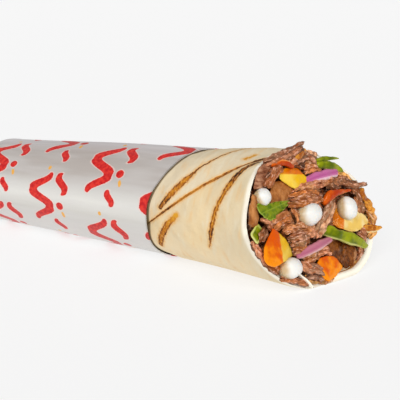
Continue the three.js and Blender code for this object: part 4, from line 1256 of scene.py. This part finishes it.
def add_beef():
    shapes = [meat_core(), *seeded_strips()]
    for i, (tint, wide, thick, roll, path) in enumerate(MEAT_STRIPS):
        shapes.append(meat_strip(path, wide, thick, roll, TINTS[tint], 200 + i))
    material = beef_material()
    add_piece("beef", joined(shapes), material, "grilled_beef", "beef_filling")
    under_end = ((-26, -24.6, -1.4), (-20, -27.2, -0.8), (-12, -31.2, -0.8))
    shape = meat_strip(under_end, 3.0, 2.6, 0, TINTS["brown"], 199)
    add_piece("beef_under_end", shape, material, "grilled_beef", "beef_strip_under_end")


# ---------- Table, light and camera ----------
TABLE = Sizes(reach=40.0, below=0.0001, grey=0.26, glow=0.7)  # in metres; glows, for faint shadows
ALL_ROUND = 0.4  # strength of the white light from everywhere
LIGHTS = {  # direction, strength and spread in degrees
    "front": ((0.15, -0.85, 0.62), 1.25, 28),
    "right": ((0.85, -0.42, 0.6), 1.05, 16),
}


def add_table():
    s = Shader("table")
    grey = (TABLE.grey, TABLE.grey, TABLE.grey, 1)
    s.done(Base_Color=grey, Roughness=0.6, Specular_IOR_Level=0.1, Emission_Color=(1, 1, 1, 1),
           Emission_Strength=TABLE.glow)
    reach = TABLE.reach
    corners = [(-reach, -reach), (reach, -reach), (reach, reach), (-reach, reach)]
    mesh = bpy.data.meshes.new("table")
    mesh.from_pydata([(x, y, -TABLE.below) for x, y in corners], [], [(0, 1, 2, 3)])
    mesh.materials.append(s.material)
    table = bpy.data.objects.new("table", mesh)
    bpy.context.scene.collection.objects.link(table)


def add_light():
    world = bpy.data.worlds.new("studio")
    world.use_nodes = True
    background = world.node_tree.nodes["Background"]
    background.inputs["Color"].default_value = (1, 1, 1, 1)
    background.inputs["Strength"].default_value = ALL_ROUND
    bpy.context.scene.world = world
    for name, (direction, strength, spread) in LIGHTS.items():
        lamp = bpy.data.lights.new(name, "SUN")
        lamp.energy = strength
        lamp.angle = math.radians(spread)
        light = bpy.data.objects.new(name, lamp)
        light.rotation_mode = "QUATERNION"
        light.rotation_quaternion = Vector(direction).to_track_quat("Z", "Y")
        bpy.context.scene.collection.objects.link(light)
    bpy.context.scene.view_settings.view_transform = "Standard"


CAMERA = Sizes(azimuth=31.6, elevation=15.46, distance=378.35, target=(17.87, 0, 28.65), lens=70, sensor=36)


def add_camera():
    azimuth, elevation = math.radians(CAMERA.azimuth), math.radians(CAMERA.elevation)
    level = math.cos(elevation)
    back = Vector((math.sin(azimuth) * level, -math.cos(azimuth) * level, math.sin(elevation)))
    data = bpy.data.cameras.new("camera")
    data.lens = CAMERA.lens
    data.sensor_width = CAMERA.sensor
    data.clip_start = 0.01
    camera = bpy.data.objects.new("camera", data)
    camera.location = (Vector(CAMERA.target) + back * CAMERA.distance) * METRES
    camera.rotation_mode = "QUATERNION"
    camera.rotation_quaternion = back.to_track_quat("Z", "Y")
    bpy.context.scene.collection.objects.link(camera)
    bpy.context.scene.camera = camera


add_bread()
add_piece("paper", paper_shape(), paper_material(), "sleeve_paper", "paper_sleeve")
add_beef()
add_sauce_and_onion()
add_peppers()
add_leaf()
add_slices()
add_table()
add_light()
add_camera()
